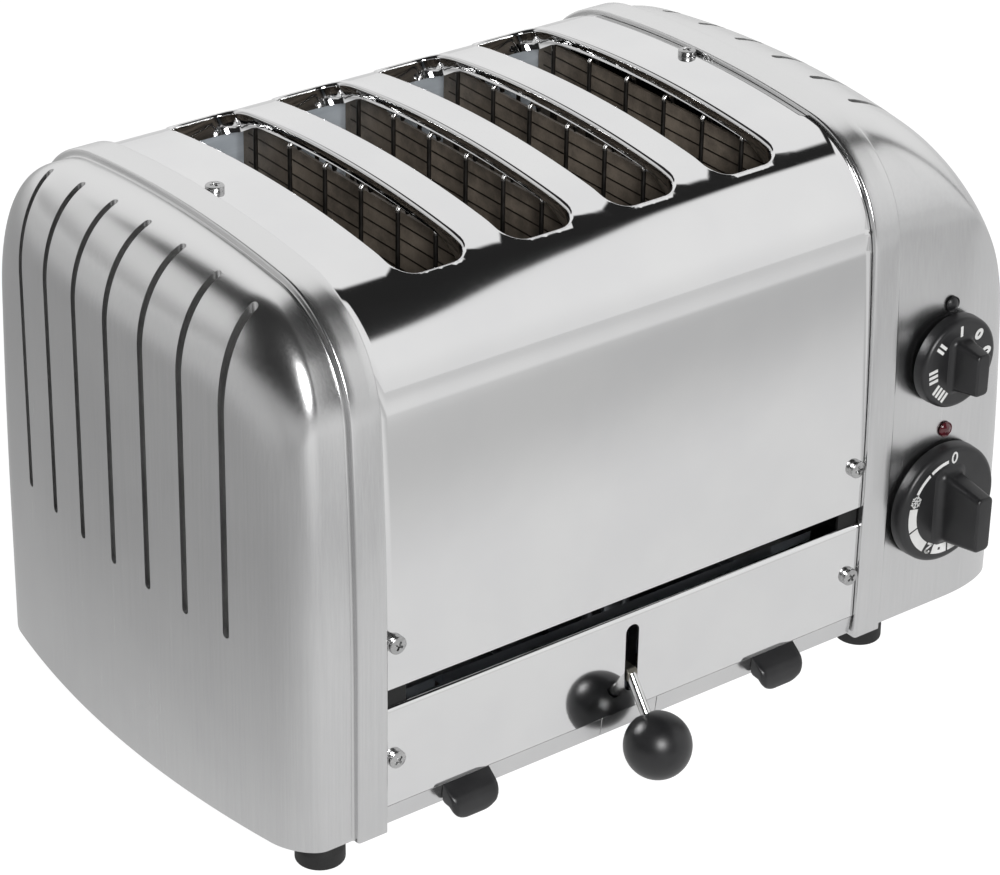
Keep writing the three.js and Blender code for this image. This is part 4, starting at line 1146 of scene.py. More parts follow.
# %% Lever's arm
ARM_FRONT, ARM_BACK, ARM_FOOT, ARM_TOP, ARM_HALF = 105.4, 92.3, 34.6, 39.8, 2.3
arm_outline = [(-ARM_FRONT, ARM_FOOT + 1.0), (-ARM_FRONT + 0.8, ARM_FOOT), (-ARM_BACK, ARM_FOOT),
               (-ARM_BACK, ARM_TOP), (-ARM_FRONT + 1.6, ARM_TOP), (-ARM_FRONT, ARM_TOP - 1.2)]
arm = outward(loose("lever_arm", *extruded(arm_outline, -ARM_HALF, ARM_HALF)))
bevelled(arm, 0.5, 3, 30)
dressed(arm, lever_steel, "lift")
replace_nodes(arm, "lift_lever")

# %% [markdown]
# ## The lever's rod and ball
# A bright round rod is joined to the arm's end and runs down and forwards into a black
# ball, which has a small flat collar round the rod. Both are turned about the line from
# the ball's middle to the rod's start, and both ride on the lift with the arm.

# %% Lever's rod and ball
BALL = Vector((0, -121, 14.6))
ROD_START = Vector((0, -103.6, 37.6))
ROD_RADIUS, ROD_FOOT, ROD_ROUND = 2.05, 10.4, 0.6
BALL_RADIUS, COLLAR, SOCKET_DEPTH = 13.0, 3.9, 2.2

rod_axis = ROD_START - BALL
rod_length = rod_axis.length
rod_profile = [(0, ROD_FOOT), (ROD_RADIUS, ROD_FOOT), (ROD_RADIUS, rod_length - 0.9),
               *arc((ROD_RADIUS - ROD_ROUND, rod_length - ROD_ROUND), ROD_ROUND, 0, 90, 4),
               (0, rod_length)]
closed_piece("lever_rod", turned(rod_profile, BALL, rod_axis, 32), bright_plate,
             "lift")
tip = math.degrees(math.asin(COLLAR / BALL_RADIUS))
ball_arc = arc((0, 0), BALL_RADIUS, -90, 90 - tip, 40)
edge = ball_arc[-1][1]
ball_profile = [(0, -BALL_RADIUS), *ball_arc[1:], (2.7, edge + 0.05), (2.3, edge - 0.25),
                (2.25, edge - SOCKET_DEPTH), (0, edge - SOCKET_DEPTH)]
ball = closed_piece("lift_ball", turned(ball_profile, BALL, rod_axis, 64), black_moulding,
                    "lift")
replace_nodes(ball, "lever_ball")

# %% [markdown]
# ## Pulls
# A pull is a small hood: from its root against the tray it slopes down and forwards and
# then hangs as a lip, so a fingertip goes behind it. A web closes each end. From the
# front its lower corners are strongly round. Its side view is drawn twice, hollow and
# filled by the web, and is lofted along the pull.

# %% Pulls
HOOD = [(0, 0), (0.35, -0.11), (0.72, -0.235), (0.86, -0.30), (0.95, -0.39), (1.0, -0.52),
        (1.0, -0.74), (0.96, -0.92), (0.9, -0.98), (0.83, -1.0), (0.76, -0.98), (0.72, -0.90)]
HOLLOW = [(0.72, -0.75), (0.7, -0.6), (0.6, -0.48), (0.35, -0.42), (0, -0.42)]
WEB = [(0.66, -0.78), (0.52, -0.75), (0.36, -0.74), (0.14, -0.72), (0, -0.6)]
HOOD_HALF, HOOD_REACH, HOOD_DROP, HOOD_WEB, HOOD_ROOT = 10.4, 7.4, 13.2, 1.8, 22.2
FRONT_ROUND, CORNER_ROUND = 2.2, 7.0
PULL_PLACES = {"left": -76.2, "right": 70.5}


def hood_round(offset, radius):
    """How far a round of a radius has drawn an end in, at a distance from the middle."""
    into = max(abs(offset) - (HOOD_HALF - radius), 0) / radius
    return radius * (1 - math.sqrt(max(1 - into ** 2, 0)))


def hood_section(x, offset, filled):
    """The side view at an offset from a pull's middle: shares of its reach and drop."""
    shape = np.array(HOOD + (WEB if filled else HOLLOW))
    lip = np.clip((-shape[:, 1] - 0.4) / 0.6, 0, 1)
    reach = HOOD_REACH - hood_round(offset, FRONT_ROUND) * 0.8
    drop = HOOD_DROP - hood_round(offset, CORNER_ROUND) * 0.92 * lip
    return np.stack([np.full(len(shape), x + offset), -FACE - reach * shape[:, 0],
                     HOOD_ROOT + drop * shape[:, 1]], 1)


hollow_end = HOOD_HALF - HOOD_WEB
half_line = [(HOOD_HALF - step, True) for step in (0, 0.05, 0.2, 0.5, 1.0)]
half_line += [(hollow_end + 0.02, True)]
half_line += [(offset, False) for offset in np.linspace(hollow_end, 0, 12)]
hood_line = [(-offset, filled) for offset, filled in half_line] + half_line[::-1][1:]
for side, x in PULL_PLACES.items():
    hood = lofted([hood_section(x, offset, filled) for offset, filled in hood_line])
    pull = closed_piece(f"hood_pull_{side}", hood, black_moulding, f"tray_{side}",
                        34)
    replace_nodes(pull, f"tray_pull_{side}")

# %% [markdown]
# ## Knobs
# Each control is one moulding: a thick round disc that stands a little off the casting
# on a smaller foot and has a soft edge, and across its face a bar to grip. The bar
# flares into the face at its foot, draws in towards the user on all four sides, and has
# round corners. The disc is turned, and the bar is lofted through round-cornered blocks.

# %% Knobs
CONTROL_FACE, DIAL_FACE = 103.3, 7.0
DISC_GAP, DISC_FOOT, DISC_ROUND = 0.9, 3.0, 2.2
BAR_SINK, BAR_ROUND, BAR_CORNER_LIMIT, BAR_CORNER_STEPS = 0.3, 1.1, 4.5, 6
KNOB_SHARP = 38


def rounded_block(long, wide):
    """The (across, up) points of a block with round corners, from half its measures."""
    radius = min(wide * 0.55, BAR_CORNER_LIMIT)
    points = []
    for sx, sz, start in ((1, 1, 0), (-1, 1, 90), (-1, -1, 180), (1, -1, 270)):
        for a in np.radians(np.linspace(start, start + 90, BAR_CORNER_STEPS)):
            points.append((sx * (wide - radius) + radius * math.cos(a),
                           sz * (long - radius) + radius * math.sin(a)))
    return np.array(points)


def disc_profile(rim):
    return [(0, 0), (rim - DISC_FOOT, 0), (rim - DISC_FOOT, DISC_GAP), (rim - 0.5, DISC_GAP),
            *arc((rim - 0.5, DISC_GAP + 0.5), 0.5, -90, 0, 5)[1:],
            (rim - 0.2, DIAL_FACE - DISC_ROUND),
            *arc((rim - 0.2 - DISC_ROUND, DIAL_FACE - DISC_ROUND), DISC_ROUND, 0, 90, 9)[1:],
            (0, DIAL_FACE)]


def bar_levels(foot, waist, front, waist_height, grip_depth):
    """(half length and half width, distance from the face) of the bar's outlines."""
    foot, waist, front = np.array(foot), np.array(waist), np.array(front)
    straight = grip_depth - BAR_ROUND - waist_height
    levels = [(foot, -BAR_SINK)]
    levels += [(waist + (foot - waist) * (1 - math.sin(a)) ** 1.3, waist_height * (1 - math.cos(a)))
               for a in np.linspace(0.12, math.pi / 2, 8)]
    levels += [(waist + (front - waist) * t, waist_height + straight * t)
               for t in (0.33, 0.67, 1.0)]
    levels += [(front - BAR_ROUND * (1 - math.cos(a)),
                grip_depth - BAR_ROUND + BAR_ROUND * math.sin(a))
               for a in np.linspace(0, math.pi / 2, 6)[1:]]
    return levels


def knob(name, body, height, rim, levels):
    disc = turned(disc_profile(rim), (CONTROL_X, -CONTROL_FACE, height), FRONTWARD, 96)
    sections = []
    for (long, wide), forward in levels:
        block = rounded_block(long, wide)
        depth = np.full(len(block), -CONTROL_FACE - DIAL_FACE - forward)
        sections.append(np.stack([CONTROL_X + block[:, 0], depth, height + block[:, 1]], 1))
    piece = closed_piece(name, merged([disc, lofted(sections)]), black_moulding, body,
                         KNOB_SHARP)
    return replace_nodes(piece, f"{body}_knob")


knob("selector_dial", "selector", SELECTOR_HEIGHT, 18.9, bar_levels(
    foot=(12.5, 7.0), waist=(10.4, 4.4), front=(8.8, 3.4), waist_height=2.6, grip_depth=12.6))
knob("timer_dial", "timer", TIMER_HEIGHT, 24.8, bar_levels(
    foot=(17.5, 8.5), waist=(14.3, 4.7), front=(11.8, 4.0), waist_height=4.0, grip_depth=20.0))

# %% [markdown]
# ## Marks on the dials
# The marks are printed on the faces of the discs and turn with them. Each is a thin
# closed plate that stands about a tenth of a millimetre proud, so first come the plain
# shapes that every mark is put together from: sectors, strokes, rings and bars.

# %% Mark shapes
MARK_HEIGHT, MARK_ROOT = 0.12, 0.2
BAR_LENGTH, BAR_WIDTH, BAR_PITCH = 3.7, 1.25, 2.15


def plate(outline, height):
    """A thin closed plate from an outline of (across, up) points about a dial's middle."""
    return lofted([np.array([(CONTROL_X + x, -(CONTROL_FACE + DIAL_FACE + h), height + z)
                             for x, z in outline]) for h in (-MARK_ROOT, MARK_HEIGHT)])


def polar(radius, angle):
    """A point at degrees counter-clockwise from the top, seen from the front."""
    turn = math.radians(angle)
    return np.array([-radius * math.sin(turn), radius * math.cos(turn)])


def sector(inner, outer, start, end):
    """A band between two radii and two angles, with a point about every four degrees."""
    turn = np.linspace(start, end, max(3, int(abs(end - start) / 4) + 2))
    return [[*(polar(outer, a) for a in turn), *(polar(inner, a) for a in turn[::-1])]]


def stroke(route, width):
    """A band of constant width along a route, as short closed plates end to end."""
    bands = []
    for a, b in zip(route, route[1:]):
        a, b = np.array(a, float), np.array(b, float)
        along = (b - a) / np.linalg.norm(b - a)
        aside = np.array([-along[1], along[0]]) * width / 2
        cap = along * width * 0.28
        bands.append([a - cap - aside, b + cap - aside, b + cap + aside, a - cap + aside])
    return bands


def turned_to(shapes, centre, angle):
    """Shapes drawn upright about the origin, set down at a point and turned."""
    c, s = math.cos(math.radians(angle)), math.sin(math.radians(angle))
    turn = np.array([[c, -s], [s, c]])
    return [[turn @ np.array(p) + centre for p in shape] for shape in shapes]


def ring_mark(width, height, line):
    """An upright oval ring, as plates that meet edge to edge."""
    turn = np.linspace(0, 2 * math.pi, 21)

    def spot(a, grow):
        return np.array([(width + grow) * math.cos(a), (height + grow) * math.sin(a)])

    return [[spot(a, -line / 2), spot(a, line / 2), spot(b, line / 2), spot(b, -line / 2)]
            for a, b in zip(turn, turn[1:])]


def bars(count):
    """A row of upright bars, as a count of slots is printed."""
    shapes = []
    for i in range(count):
        x = (i - (count - 1) / 2) * BAR_PITCH
        shapes += stroke([(x, -BAR_LENGTH / 2), (x, BAR_LENGTH / 2)], BAR_WIDTH)
    return shapes


def star_mark(size):
    """A frost star: three lines through the middle, each with a fork at both ends."""
    shapes = []
    for k in range(3):
        a = math.radians(60 * k)
        tip = np.array([math.cos(a), math.sin(a)]) * size
        shapes += stroke([-tip, tip], 0.5)
        for side in (-1, 1):
            root = tip * side * 0.55
            for turn in (-50, 50):
                b = a + math.radians(turn) + (math.pi if side < 0 else 0)
                shapes += stroke([root, root + np.array([math.cos(b), math.sin(b)]) * size * 0.42], 0.42)
    return shapes


# %% [markdown]
# ## The two scales
# The selector has counts of slots, one to four, and two rings. The timer's scale is a
# ring, two thin arcs, a frost star and a broad band that is cut in parts, with a plain
# two and a small square opening. Angles run counter-clockwise from the top.

# %% Scales
TWO = [(-1.1, 1.0), (-0.7, 1.75), (0.2, 1.95), (1.0, 1.5), (1.0, 0.7), (-1.2, -1.9), (1.2, -1.9)]
COUNT_RADIUS, RING_RADIUS, ZERO_RADIUS = 14.0, 13.4, 20.6
INNER, OUTER, MIDDLE = 16.8, 21.0, 18.9
THIN_INNER, THIN_OUTER = 19.0, 20.4
HOLE_INNER, HOLE_OUTER = MIDDLE - 0.6, MIDDLE + 0.6

selector_marks = []
for count, angle in ((1, 3), (2, 49), (3, 97), (4, 136)):
    selector_marks += turned_to(bars(count), polar(COUNT_RADIUS, angle), angle)
for angle in (-40, -82):
    selector_marks += turned_to(ring_mark(1.2, 1.75, 1.4), polar(RING_RADIUS, angle), angle)

timer_marks = turned_to(ring_mark(1.2, 2.1, 0.8), polar(ZERO_RADIUS, -4), -4)
for start, end in ((5, 31), (34, 60)):
    timer_marks += sector(THIN_INNER, THIN_OUTER, start, end)
timer_marks += turned_to(star_mark(2.6), polar(MIDDLE, 69), 69)
timer_marks += turned_to(stroke(TWO, 0.8), polar(MIDDLE, 151.5), 151.5)
for inner, outer, start, end in ((INNER, OUTER, 78, 107), (INNER, OUTER, 109.5, 143),
                                 (HOLE_OUTER, OUTER, 159, 182), (INNER, HOLE_INNER, 159, 182),
                                 (HOLE_INNER, HOLE_OUTER, 159, 168.5),
                                 (HOLE_INNER, HOLE_OUTER, 172.5, 182),
                                 (INNER, OUTER, 184.5, 208), (INNER, OUTER, 210.5, 238)):
    timer_marks += sector(inner, outer, start, end)

for body, shapes, height in (("selector", selector_marks, SELECTOR_HEIGHT),
                             ("timer", timer_marks, TIMER_HEIGHT)):
    marks = closed_piece(f"{body}_marks", merged([plate(shape, height) for shape in shapes]),
                         mark_print, body)
    print(marks.name, len(marks.data.polygons), "faces")

# %% [markdown]
# ## Lamp, plug and gland
# The signal lamp is a clear dark red dome in a thin ring, the blind plug above the
# selector is a black dome, and at the back a gland waits for the mains lead.

# %% Lamp, plug and gland
PLUG_FACE, GLAND_FACE, GLAND_INSIDE, GLAND_BORE = 101.6, 103.3, 97, 3.7
dome = [(0, -5), (2.0, -5), (2.0, -0.1), (3.15, -0.1), *arc((2.75, 0.35), 0.4, -60, 60, 5),
        *arc((0, -2.2), 3.7, 45, 90, 9)[:-1], (0, 1.5)]
gland_profile = [(GLAND_BORE, GLAND_INSIDE), (6.0, GLAND_INSIDE), (6.0, GLAND_FACE), (7.6, GLAND_FACE),
                 *arc((7.5, GLAND_FACE + 0.5), 0.5, -60, 60, 5), (7.4, GLAND_FACE + 2.3),
                 *arc((6.6, GLAND_FACE + 2.1), 0.5, 30, 90, 4), (5.9, GLAND_FACE + 2.9),
                 (5.4, GLAND_FACE + 7.1), (5.0, GLAND_FACE + 7.5), (4.0, GLAND_FACE + 7.5),
                 (GLAND_BORE, GLAND_FACE + 7.1), (GLAND_BORE, GLAND_INSIDE)]
for name, profile, origin, axis, material, slot, node in (
        ("lamp_lens", dome, (LAMP_X, -CONTROL_FACE, LAMP_HEIGHT), FRONTWARD,
         red_lamp, "red_lens", "neon_lens"),
        ("blind_plug", dome, (LAMP_X, -PLUG_FACE, MARKER_HEIGHT), FRONTWARD,
         black_moulding, "black_plastic", "marker_plug"),
        ("lead_gland", gland_profile, (GLAND_X, 0, GLAND_HEIGHT), BACKWARD,
         black_moulding, "black_plastic", "cable_gland")):
    piece = closed_piece(name, turned(profile, origin, axis, 40), material, "casing")
    replace_nodes(piece, node)

# %% [markdown]
# ## Growing what repeats
# Screws, guard wires and windings are each one shape set down many times, so Geometry
# Nodes grow them. Every tree is built here, with named inputs for its sizes. Its result
# is turned into one plain mesh before the piece is given to its body.

# %% Geometry Nodes helpers
def geometry_tree(name, inputs):
    """A new tree; returns it and its inputs as wires by name."""
    tree = bpy.data.node_groups.new(name, "GeometryNodeTree")
    tree.interface.new_socket("Geometry", in_out="INPUT", socket_type="NodeSocketGeometry")
    for label, kind in inputs.items():
        tree.interface.new_socket(label, in_out="INPUT", socket_type=f"NodeSocket{kind}")
    tree.interface.new_socket("Geometry", in_out="OUTPUT", socket_type="NodeSocketGeometry")
    start = tree.nodes.new("NodeGroupInput")
    return tree, {socket.name: Wire(tree, socket) for socket in start.outputs if socket.name}


def ended(shape, material):
    """The last two nodes of every tree: real geometry, with its finish."""
    real = shape.node("GeometryNodeRealizeInstances", None, {"Geometry": shape})
    covered = shape.node("GeometryNodeSetMaterial", None, {"Geometry": real, "Material": material})
    end = shape.tree.nodes.new("NodeGroupOutput")
    shape.tree.links.new(covered.socket, end.inputs["Geometry"])


def joined(*shapes):
    """Several geometries as one; this node takes all its links in a single socket."""
    join = shapes[0].tree.nodes.new("GeometryNodeJoinGeometry")
    for shape in shapes:
        shape.tree.links.new(shape.socket, join.inputs["Geometry"])
    return Wire(shapes[0].tree, join.outputs[0])


def grown(piece, tree, values, material, body, sharp):
    """Runs a tree on a piece with its inputs set by identifier, and keeps a plain mesh."""
    modifier = piece.modifiers.new("grow", "NODES")
    modifier.node_group = tree
    for item in tree.interface.items_tree:
        if item.in_out == "INPUT" and item.name in values:
            modifier[item.identifier] = values[item.name]
    baked(piece)
    return dressed(piece, material, body, sharp)


def seeds(name, points, **vectors):
    """Bare points with a vector each, for a tree to set things down on."""
    thing = loose(name, points, [])
    for key, rows in vectors.items():
        layer = thing.data.attributes.new(key, "FLOAT_VECTOR", "POINT")
        layer.data.foreach_set("vector", np.asarray(rows, float).ravel())
    return thing


def given_vector(wire, name):
    """The vector that seeds() stored on each point."""
    return wire.node("GeometryNodeInputNamedAttribute", {"data_type": "FLOAT_VECTOR"},
                     {"Name": name})


def repeated(points, shape, **sockets):
    """Sets a shape down on each point, with its Rotation or Scale where they are given."""
    return points.node("GeometryNodeInstanceOnPoints", None,
                       {"Points": points, "Instance": shape, **sockets})


def vector(x=0.0, y=0.0, z=0.0):
    """A vector from wires or numbers, of which at least one is a wire."""
    wire = next(value for value in (x, y, z) if isinstance(value, Wire))
    return wire.node("ShaderNodeCombineXYZ", None, {"X": x, "Y": y, "Z": z})


# %% [markdown]
# ## One screw
# Ten pan-head screws with a cross recess hold the cover and the panels. The head is
# turned, and two crossed, tapered tools cut the recess, each wider at its mouth. It
# lies at the origin, because the tree below takes it from there.

# %% Screw head
RECESS_FLOOR, RECESS_MOUTH, RECESS_LONG, RECESS_WIDE = 1.0, 3.2, 2.0, 0.5
BOX_FACES = [(3, 2, 1, 0), (4, 5, 6, 7), (0, 1, 5, 4), (1, 2, 6, 5), (2, 3, 7, 6), (3, 0, 4, 7)]
head_profile = [(0, -0.6), (3.3, -0.6), (3.5, -0.1), (3.5, 1.25),
                *arc((2.9, 1.3), 0.6, 0, 70, 5), (1.6, 2.08), (0, 2.2)]


def at_origin(name, points, faces):
    """A closed mesh that is drawn about the origin of the scene."""
    thing = loose(name, points, faces)
    for vertex in thing.data.vertices:
        vertex.co -= Vector((middle.x, middle.y, 0))
    return outward(thing)


head = at_origin("screw_head", *turned(head_profile, (0, 0, 0), UPWARD, 40))
for wide, long in ((RECESS_WIDE, RECESS_LONG), (RECESS_LONG, RECESS_WIDE)):
    corners = [(sx * wide * taper, sy * long * taper, z)
               for z, taper in ((RECESS_FLOOR, 0.75), (RECESS_MOUTH, 1.1))
               for sx, sy in ((-1, -1), (1, -1), (1, 1), (-1, 1))]
    cut(head, at_origin("recess_tool", corners, BOX_FACES))
print("screw head", len(head.data.polygons), "faces")

# %% [markdown]
# ## Ten screws
# Each place has a direction that its screw looks in. The tree sets the head down on
# every place, turns it to look that way, and gives each cross its own angle from a fixed
# seed, as screws that were driven by hand have.

# %% Screws
SCREW_X, SCREW_Y, UPPER_SCREW, LOWER_SCREW = 107.7, 104.1, 89.5, 42.0
TOP_SCREW_X, TOP_SCREW_Y, TOP_SCREW_HEIGHT = 108.0, 5.0, 222.1
screw_places, screw_aims = [], []
for sx in (-1, 1):
    for sy in (-1, 1):
        for height in (UPPER_SCREW, LOWER_SCREW):
            screw_places.append((sx * SCREW_X, sy * SCREW_Y, height))
            screw_aims.append((0, sy, 0))
    screw_places.append((sx * TOP_SCREW_X, TOP_SCREW_Y, TOP_SCREW_HEIGHT))
    screw_aims.append((0, 0, 1))

tree, given = geometry_tree("set_screws", {"Head": "Object", "Size": "Float", "Seed": "Int"})
one_head = given["Head"].node("GeometryNodeObjectInfo", {"transform_space": "ORIGINAL"},
                              {"Object": given["Head"], "As Instance": True}, out="Geometry")
aimed = given["Size"].node("FunctionNodeAlignRotationToVector", {"axis": "Z"},
                           {"Vector": given_vector(given["Size"], "aim")})
chance = given["Seed"].node("FunctionNodeRandomValue", {"data_type": "FLOAT"},
                            {"Min": 0.0, "Max": 1.5, "Seed": given["Seed"]}, out=1)
twist = chance.node("FunctionNodeAxisAngleToRotation", None, {"Axis": UPWARD, "Angle": chance})
facing = aimed.node("FunctionNodeRotateRotation", {"rotation_space": "LOCAL"},
                    {"Rotation": aimed, "Rotate By": twist})
ended(repeated(given["Geometry"], one_head, Rotation=facing, Scale=given["Size"]), screw_steel)
screws = grown(seeds("fixing_screws", screw_places, aim=screw_aims), tree,
               {"Head": head, "Size": 1.0, "Seed": 7}, screw_steel, "casing", 30)
bpy.data.objects.remove(head)
screw_nodes = [f"{end}_screw_{level}_{side}" for end in ("front", "rear")
               for level in ("upper", "lower") for side in ("left", "right")]
replace_nodes(screws, *screw_nodes, "top_screw_left", "top_screw_right")

# %% [markdown]
# ## Guard wires
# On both sides of each slot stands a row of six wires that keep the bread off the
# boards. Each wire is bent out of the board at its foot, rises, and hooks back over the
# board at its head; a bar ties the row near its foot. The tree bends one path, repeats
# it along the slot, turns it towards its board and sweeps a round wire along it.

# %% Guard wires
WIRE_COUNT, WIRE_RADIUS, WIRE_PITCH, WIRE_SIDES = 6, 0.9, 22.7, 10
WIRE_TOP, WIRE_FOOT, WIRE_REACH, TIE_HEIGHT = 214.6, 88.0, 5.2, 98.0
ROW_MIDDLE, ROW_ASIDE = 5.2, 17.4
guard_places = [(slot_middle(i) + side * ROW_ASIDE, ROW_MIDDLE, 0)
                for i in range(4) for side in (-1, 1)]
guard_sides = [(side, 1, 1) for _ in range(4) for side in (-1, 1)]


def straight(start, end):
    return start.node("GeometryNodeCurvePrimitiveLine", {"mode": "POINTS"},
                      {"Start": start, "End": end})


def through(bends):
    """A path through given points: a resampled line whose points are put in place."""
    line = straight(bends[0], bends[-1])
    path = line.node("GeometryNodeResampleCurve", None, {"Curve": line, "Count": len(bends)})
    index = path.node("GeometryNodeInputIndex")
    place = bends[0]
    for k, bend in enumerate(bends[1:], 1):
        here = index.node("FunctionNodeCompare", {"data_type": "INT", "operation": "EQUAL"},
                          {2: index, 3: k})
        place = here.node("GeometryNodeSwitch", {"input_type": "VECTOR"},
                          {"Switch": here, "False": place, "True": bend})
    return path.node("GeometryNodeSetPosition", None, {"Geometry": path, "Position": place})


tree, given = geometry_tree("stand_wires", {
    "Wires": "Int", "Pitch": "Float", "Radius": "Float", "Head Height": "Float",
    "Foot Height": "Float", "Reach": "Float", "Tie Height": "Float"})
reach, top, foot = given["Reach"], given["Head Height"], given["Foot Height"]
path = through([vector(reach, z=foot), vector(z=foot), vector(z=top - reach * 0.45),
                vector(reach * 0.4, z=top), vector(reach * 0.75, z=top - reach * 0.5),
                vector(reach * 0.85, z=top - reach * 0.9)])
path = path.node("GeometryNodeFilletCurve", {"mode": "POLY"},
                 {"Curve": path, "Count": 4, "Radius": given["Radius"] * 1.6})
half_row = (given["Wires"] - 1.0) * given["Pitch"] * 0.5
row = half_row.node("GeometryNodeMeshLine", {"mode": "OFFSET"},
                    {"Count": given["Wires"], "Start Location": vector(y=half_row * -1.0),
                     "Offset": vector(y=given["Pitch"])})
tie_half = half_row + given["Radius"] * 2.0
tie = straight(vector(y=tie_half * -1.0, z=given["Tie Height"]),
               vector(y=tie_half, z=given["Tie Height"]))
guard = joined(repeated(row, path), tie)
guards = repeated(given["Geometry"], guard, Scale=given_vector(guard, "side"))
guards = guards.node("GeometryNodeRealizeInstances", None, {"Geometry": guards})
round_wire = guards.node("GeometryNodeCurvePrimitiveCircle", {"mode": "RADIUS"},
                         {"Resolution": WIRE_SIDES, "Radius": given["Radius"]})
swept = guards.node("GeometryNodeCurveToMesh", None,
                    {"Curve": guards, "Profile Curve": round_wire, "Fill Caps": True})
ended(swept, guard_steel)
wires = grown(seeds("guard_wire_rows", guard_places, side=guard_sides), tree,
              {"Wires": WIRE_COUNT, "Pitch": WIRE_PITCH * MM, "Radius": WIRE_RADIUS * MM,
               "Head Height": WIRE_TOP * MM, "Foot Height": WIRE_FOOT * MM,
               "Reach": WIRE_REACH * MM, "Tie Height": TIE_HEIGHT * MM},
              guard_steel, "casing", 50)
outward(wires)
replace_nodes(wires, *(f"guard_wires_{i}_{side}" for i in range(1, 5) for side in ("left", "right")))

# %% [markdown]
# ## Windings
# A flat ribbon is wound round each board and shows as thin dark lines across it. The
# tree stacks long flat bars up one face and sets that stack down on every face.

# %% Windings
TURNS, TURN_PITCH, WINDING_FOOT, BOARD_FACE = 20, 5.9, 91.0, 0.68
RIBBON_DEPTH, RIBBON_LENGTH, RIBBON_WIDTH = 0.16, 150, 0.55
tree, given = geometry_tree("wind_ribbon", {"Turns": "Int", "Pitch": "Float", "Ribbon": "Vector"})
one_turn = given["Ribbon"].node("GeometryNodeMeshCube", None, {"Size": given["Ribbon"]})
stack = one_turn.node("GeometryNodeMeshLine", {"mode": "OFFSET"},
                      {"Count": given["Turns"], "Offset": vector(z=given["Pitch"])})
ended(repeated(given["Geometry"], repeated(stack, one_turn)), ribbon_metal)
board_faces = [((i - 2) * SLOT_PITCH + side * BOARD_FACE, 0, WINDING_FOOT)
               for i in range(5) for side in (-1, 1)]
ribbon = grown(seeds("ribbon_windings", board_faces), tree,
               {"Turns": TURNS, "Pitch": TURN_PITCH * MM,
                "Ribbon": (RIBBON_DEPTH * MM, RIBBON_LENGTH * MM, RIBBON_WIDTH * MM)},
               ribbon_metal, "casing", 30)
print("windings", len(ribbon.data.polygons), "faces")

# %% [markdown]
# ## Finishes for the frame's own solids
# What stays of the frame is mostly inside: sheets, boards, rods and bodies. Their
# shapes are right as they are, so each one only gets its finish.

# %% Dress the frame
frame_finishes = {
    plain_sheet: ("base_plate", "bread_carriage", "guide_rod_left",
                  "guide_rod_right", "selector_spindle", "timer_spindle"),
    shield_sheet: ("front_heat_shield", "rear_heat_shield"),
    # The bulkheads' dark colour is painted shade for the gap under the cover.
    dark_sheet: ("control_end_bulkhead", "vent_end_bulkhead"),
    brown_mica: tuple(f"element_board_{i}" for i in range(1, 6)),
    pale_moulding: ("selector_body", "timer_body", "terminal_block"),
}
for material, names in frame_finishes.items():
    for name in names:
        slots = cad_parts[name].data.materials
        slots.clear()
        slots.append(material)
print("dressed", sum(len(names) for names in frame_finishes.values()), "solids of the frame")

# %% [markdown]
# ## The floor
# The object stands on a pale sheet. To the camera and in reflections the sheet also
# glows a little, so that it is white in the picture, while its diffuse share still takes
# the object's soft shadow. Reflections find two darker places in it, where the light of
# the studio didn't reach: far out behind the vented end, and a soft band in front.

# %% Floor
FLOOR_REACH, FLOOR_COLOUR, PLAIN_WHITE = 6.0, (0.86, 0.86, 0.86, 1), (1, 1, 1, 1)
SEEN_GLOW, MIRRORED_GLOW, GLOW_SHARE = 1.3, 0.83, 0.75


def floor_shade(place):
    """How much darker reflections find the floor behind the vented end."""
    away = place.part("Y") * 0.4 - place.part("X") * 0.9
    return away.between(0.06, 0.34) * (1.0 - away.between(0.5, 0.9) * 0.7) * 0.55


def floor_band(place):
    """How much darker reflections find the band in front."""
    ahead = place.part("Y") * -1.0 - place.part("X") * 0.12
    return ahead.between(0.24, 0.39) * (1.0 - ahead.between(0.41, 0.52)) * 0.38


def studio_floor():
    material = bpy.data.materials.new("pale_floor")
    material.use_nodes = True
    tree = material.node_tree
    tree.nodes.clear()
    place = Wire(tree, tree.nodes.new("ShaderNodeTexCoord").outputs["Object"])
    output = tree.nodes.new("ShaderNodeOutputMaterial")
    rays = tree.nodes.new("ShaderNodeLightPath").outputs
    camera_ray, glossy_ray = (Wire(tree, rays[f"Is {kind} Ray"]) for kind in ("Camera", "Glossy"))
    lit = (1.0 - floor_shade(place)) * (1.0 - floor_band(place))
    strength = camera_ray * SEEN_GLOW + glossy_ray * lit * MIRRORED_GLOW
    paper = place.node("ShaderNodeBsdfDiffuse", None, {"Color": FLOOR_COLOUR})
    glow = place.node("ShaderNodeEmission", None, {"Color": PLAIN_WHITE, "Strength": strength})
    share = (camera_ray + glossy_ray) * GLOW_SHARE
    both = place.node("ShaderNodeMixShader", None, {0: share, 1: paper, 2: glow})
    tree.links.new(both.socket, output.inputs[0])
    return material


floor_mesh = bpy.data.meshes.new("floor")
floor_corners = [(sx * FLOOR_REACH, sy * FLOOR_REACH, 0)
                 for sx, sy in ((-1, -1), (1, -1), (1, 1), (-1, 1))]
floor_mesh.from_pydata(floor_corners, [], [(0, 1, 2, 3)])
floor = bpy.data.objects.new("floor", floor_mesh)
bpy.context.scene.collection.objects.link(floor)
floor.data.materials.append(studio_floor())
print("floor", FLOOR_REACH * 2, "m across")

# %% [markdown]
# ## The room
# A polished object shows its studio. A large bright wall stands behind it and to the
# right, a grey one to the left, and the rest of the room is black but for a grey band
# near the horizon. The world holds them as soft steps in the direction of a ray, and it
# gives the camera itself a white background.

# %% World
BACK_WALL, SIDE_WALL = (0.611, 0.764, 0.204), (-0.62, 0.75, 0.1)


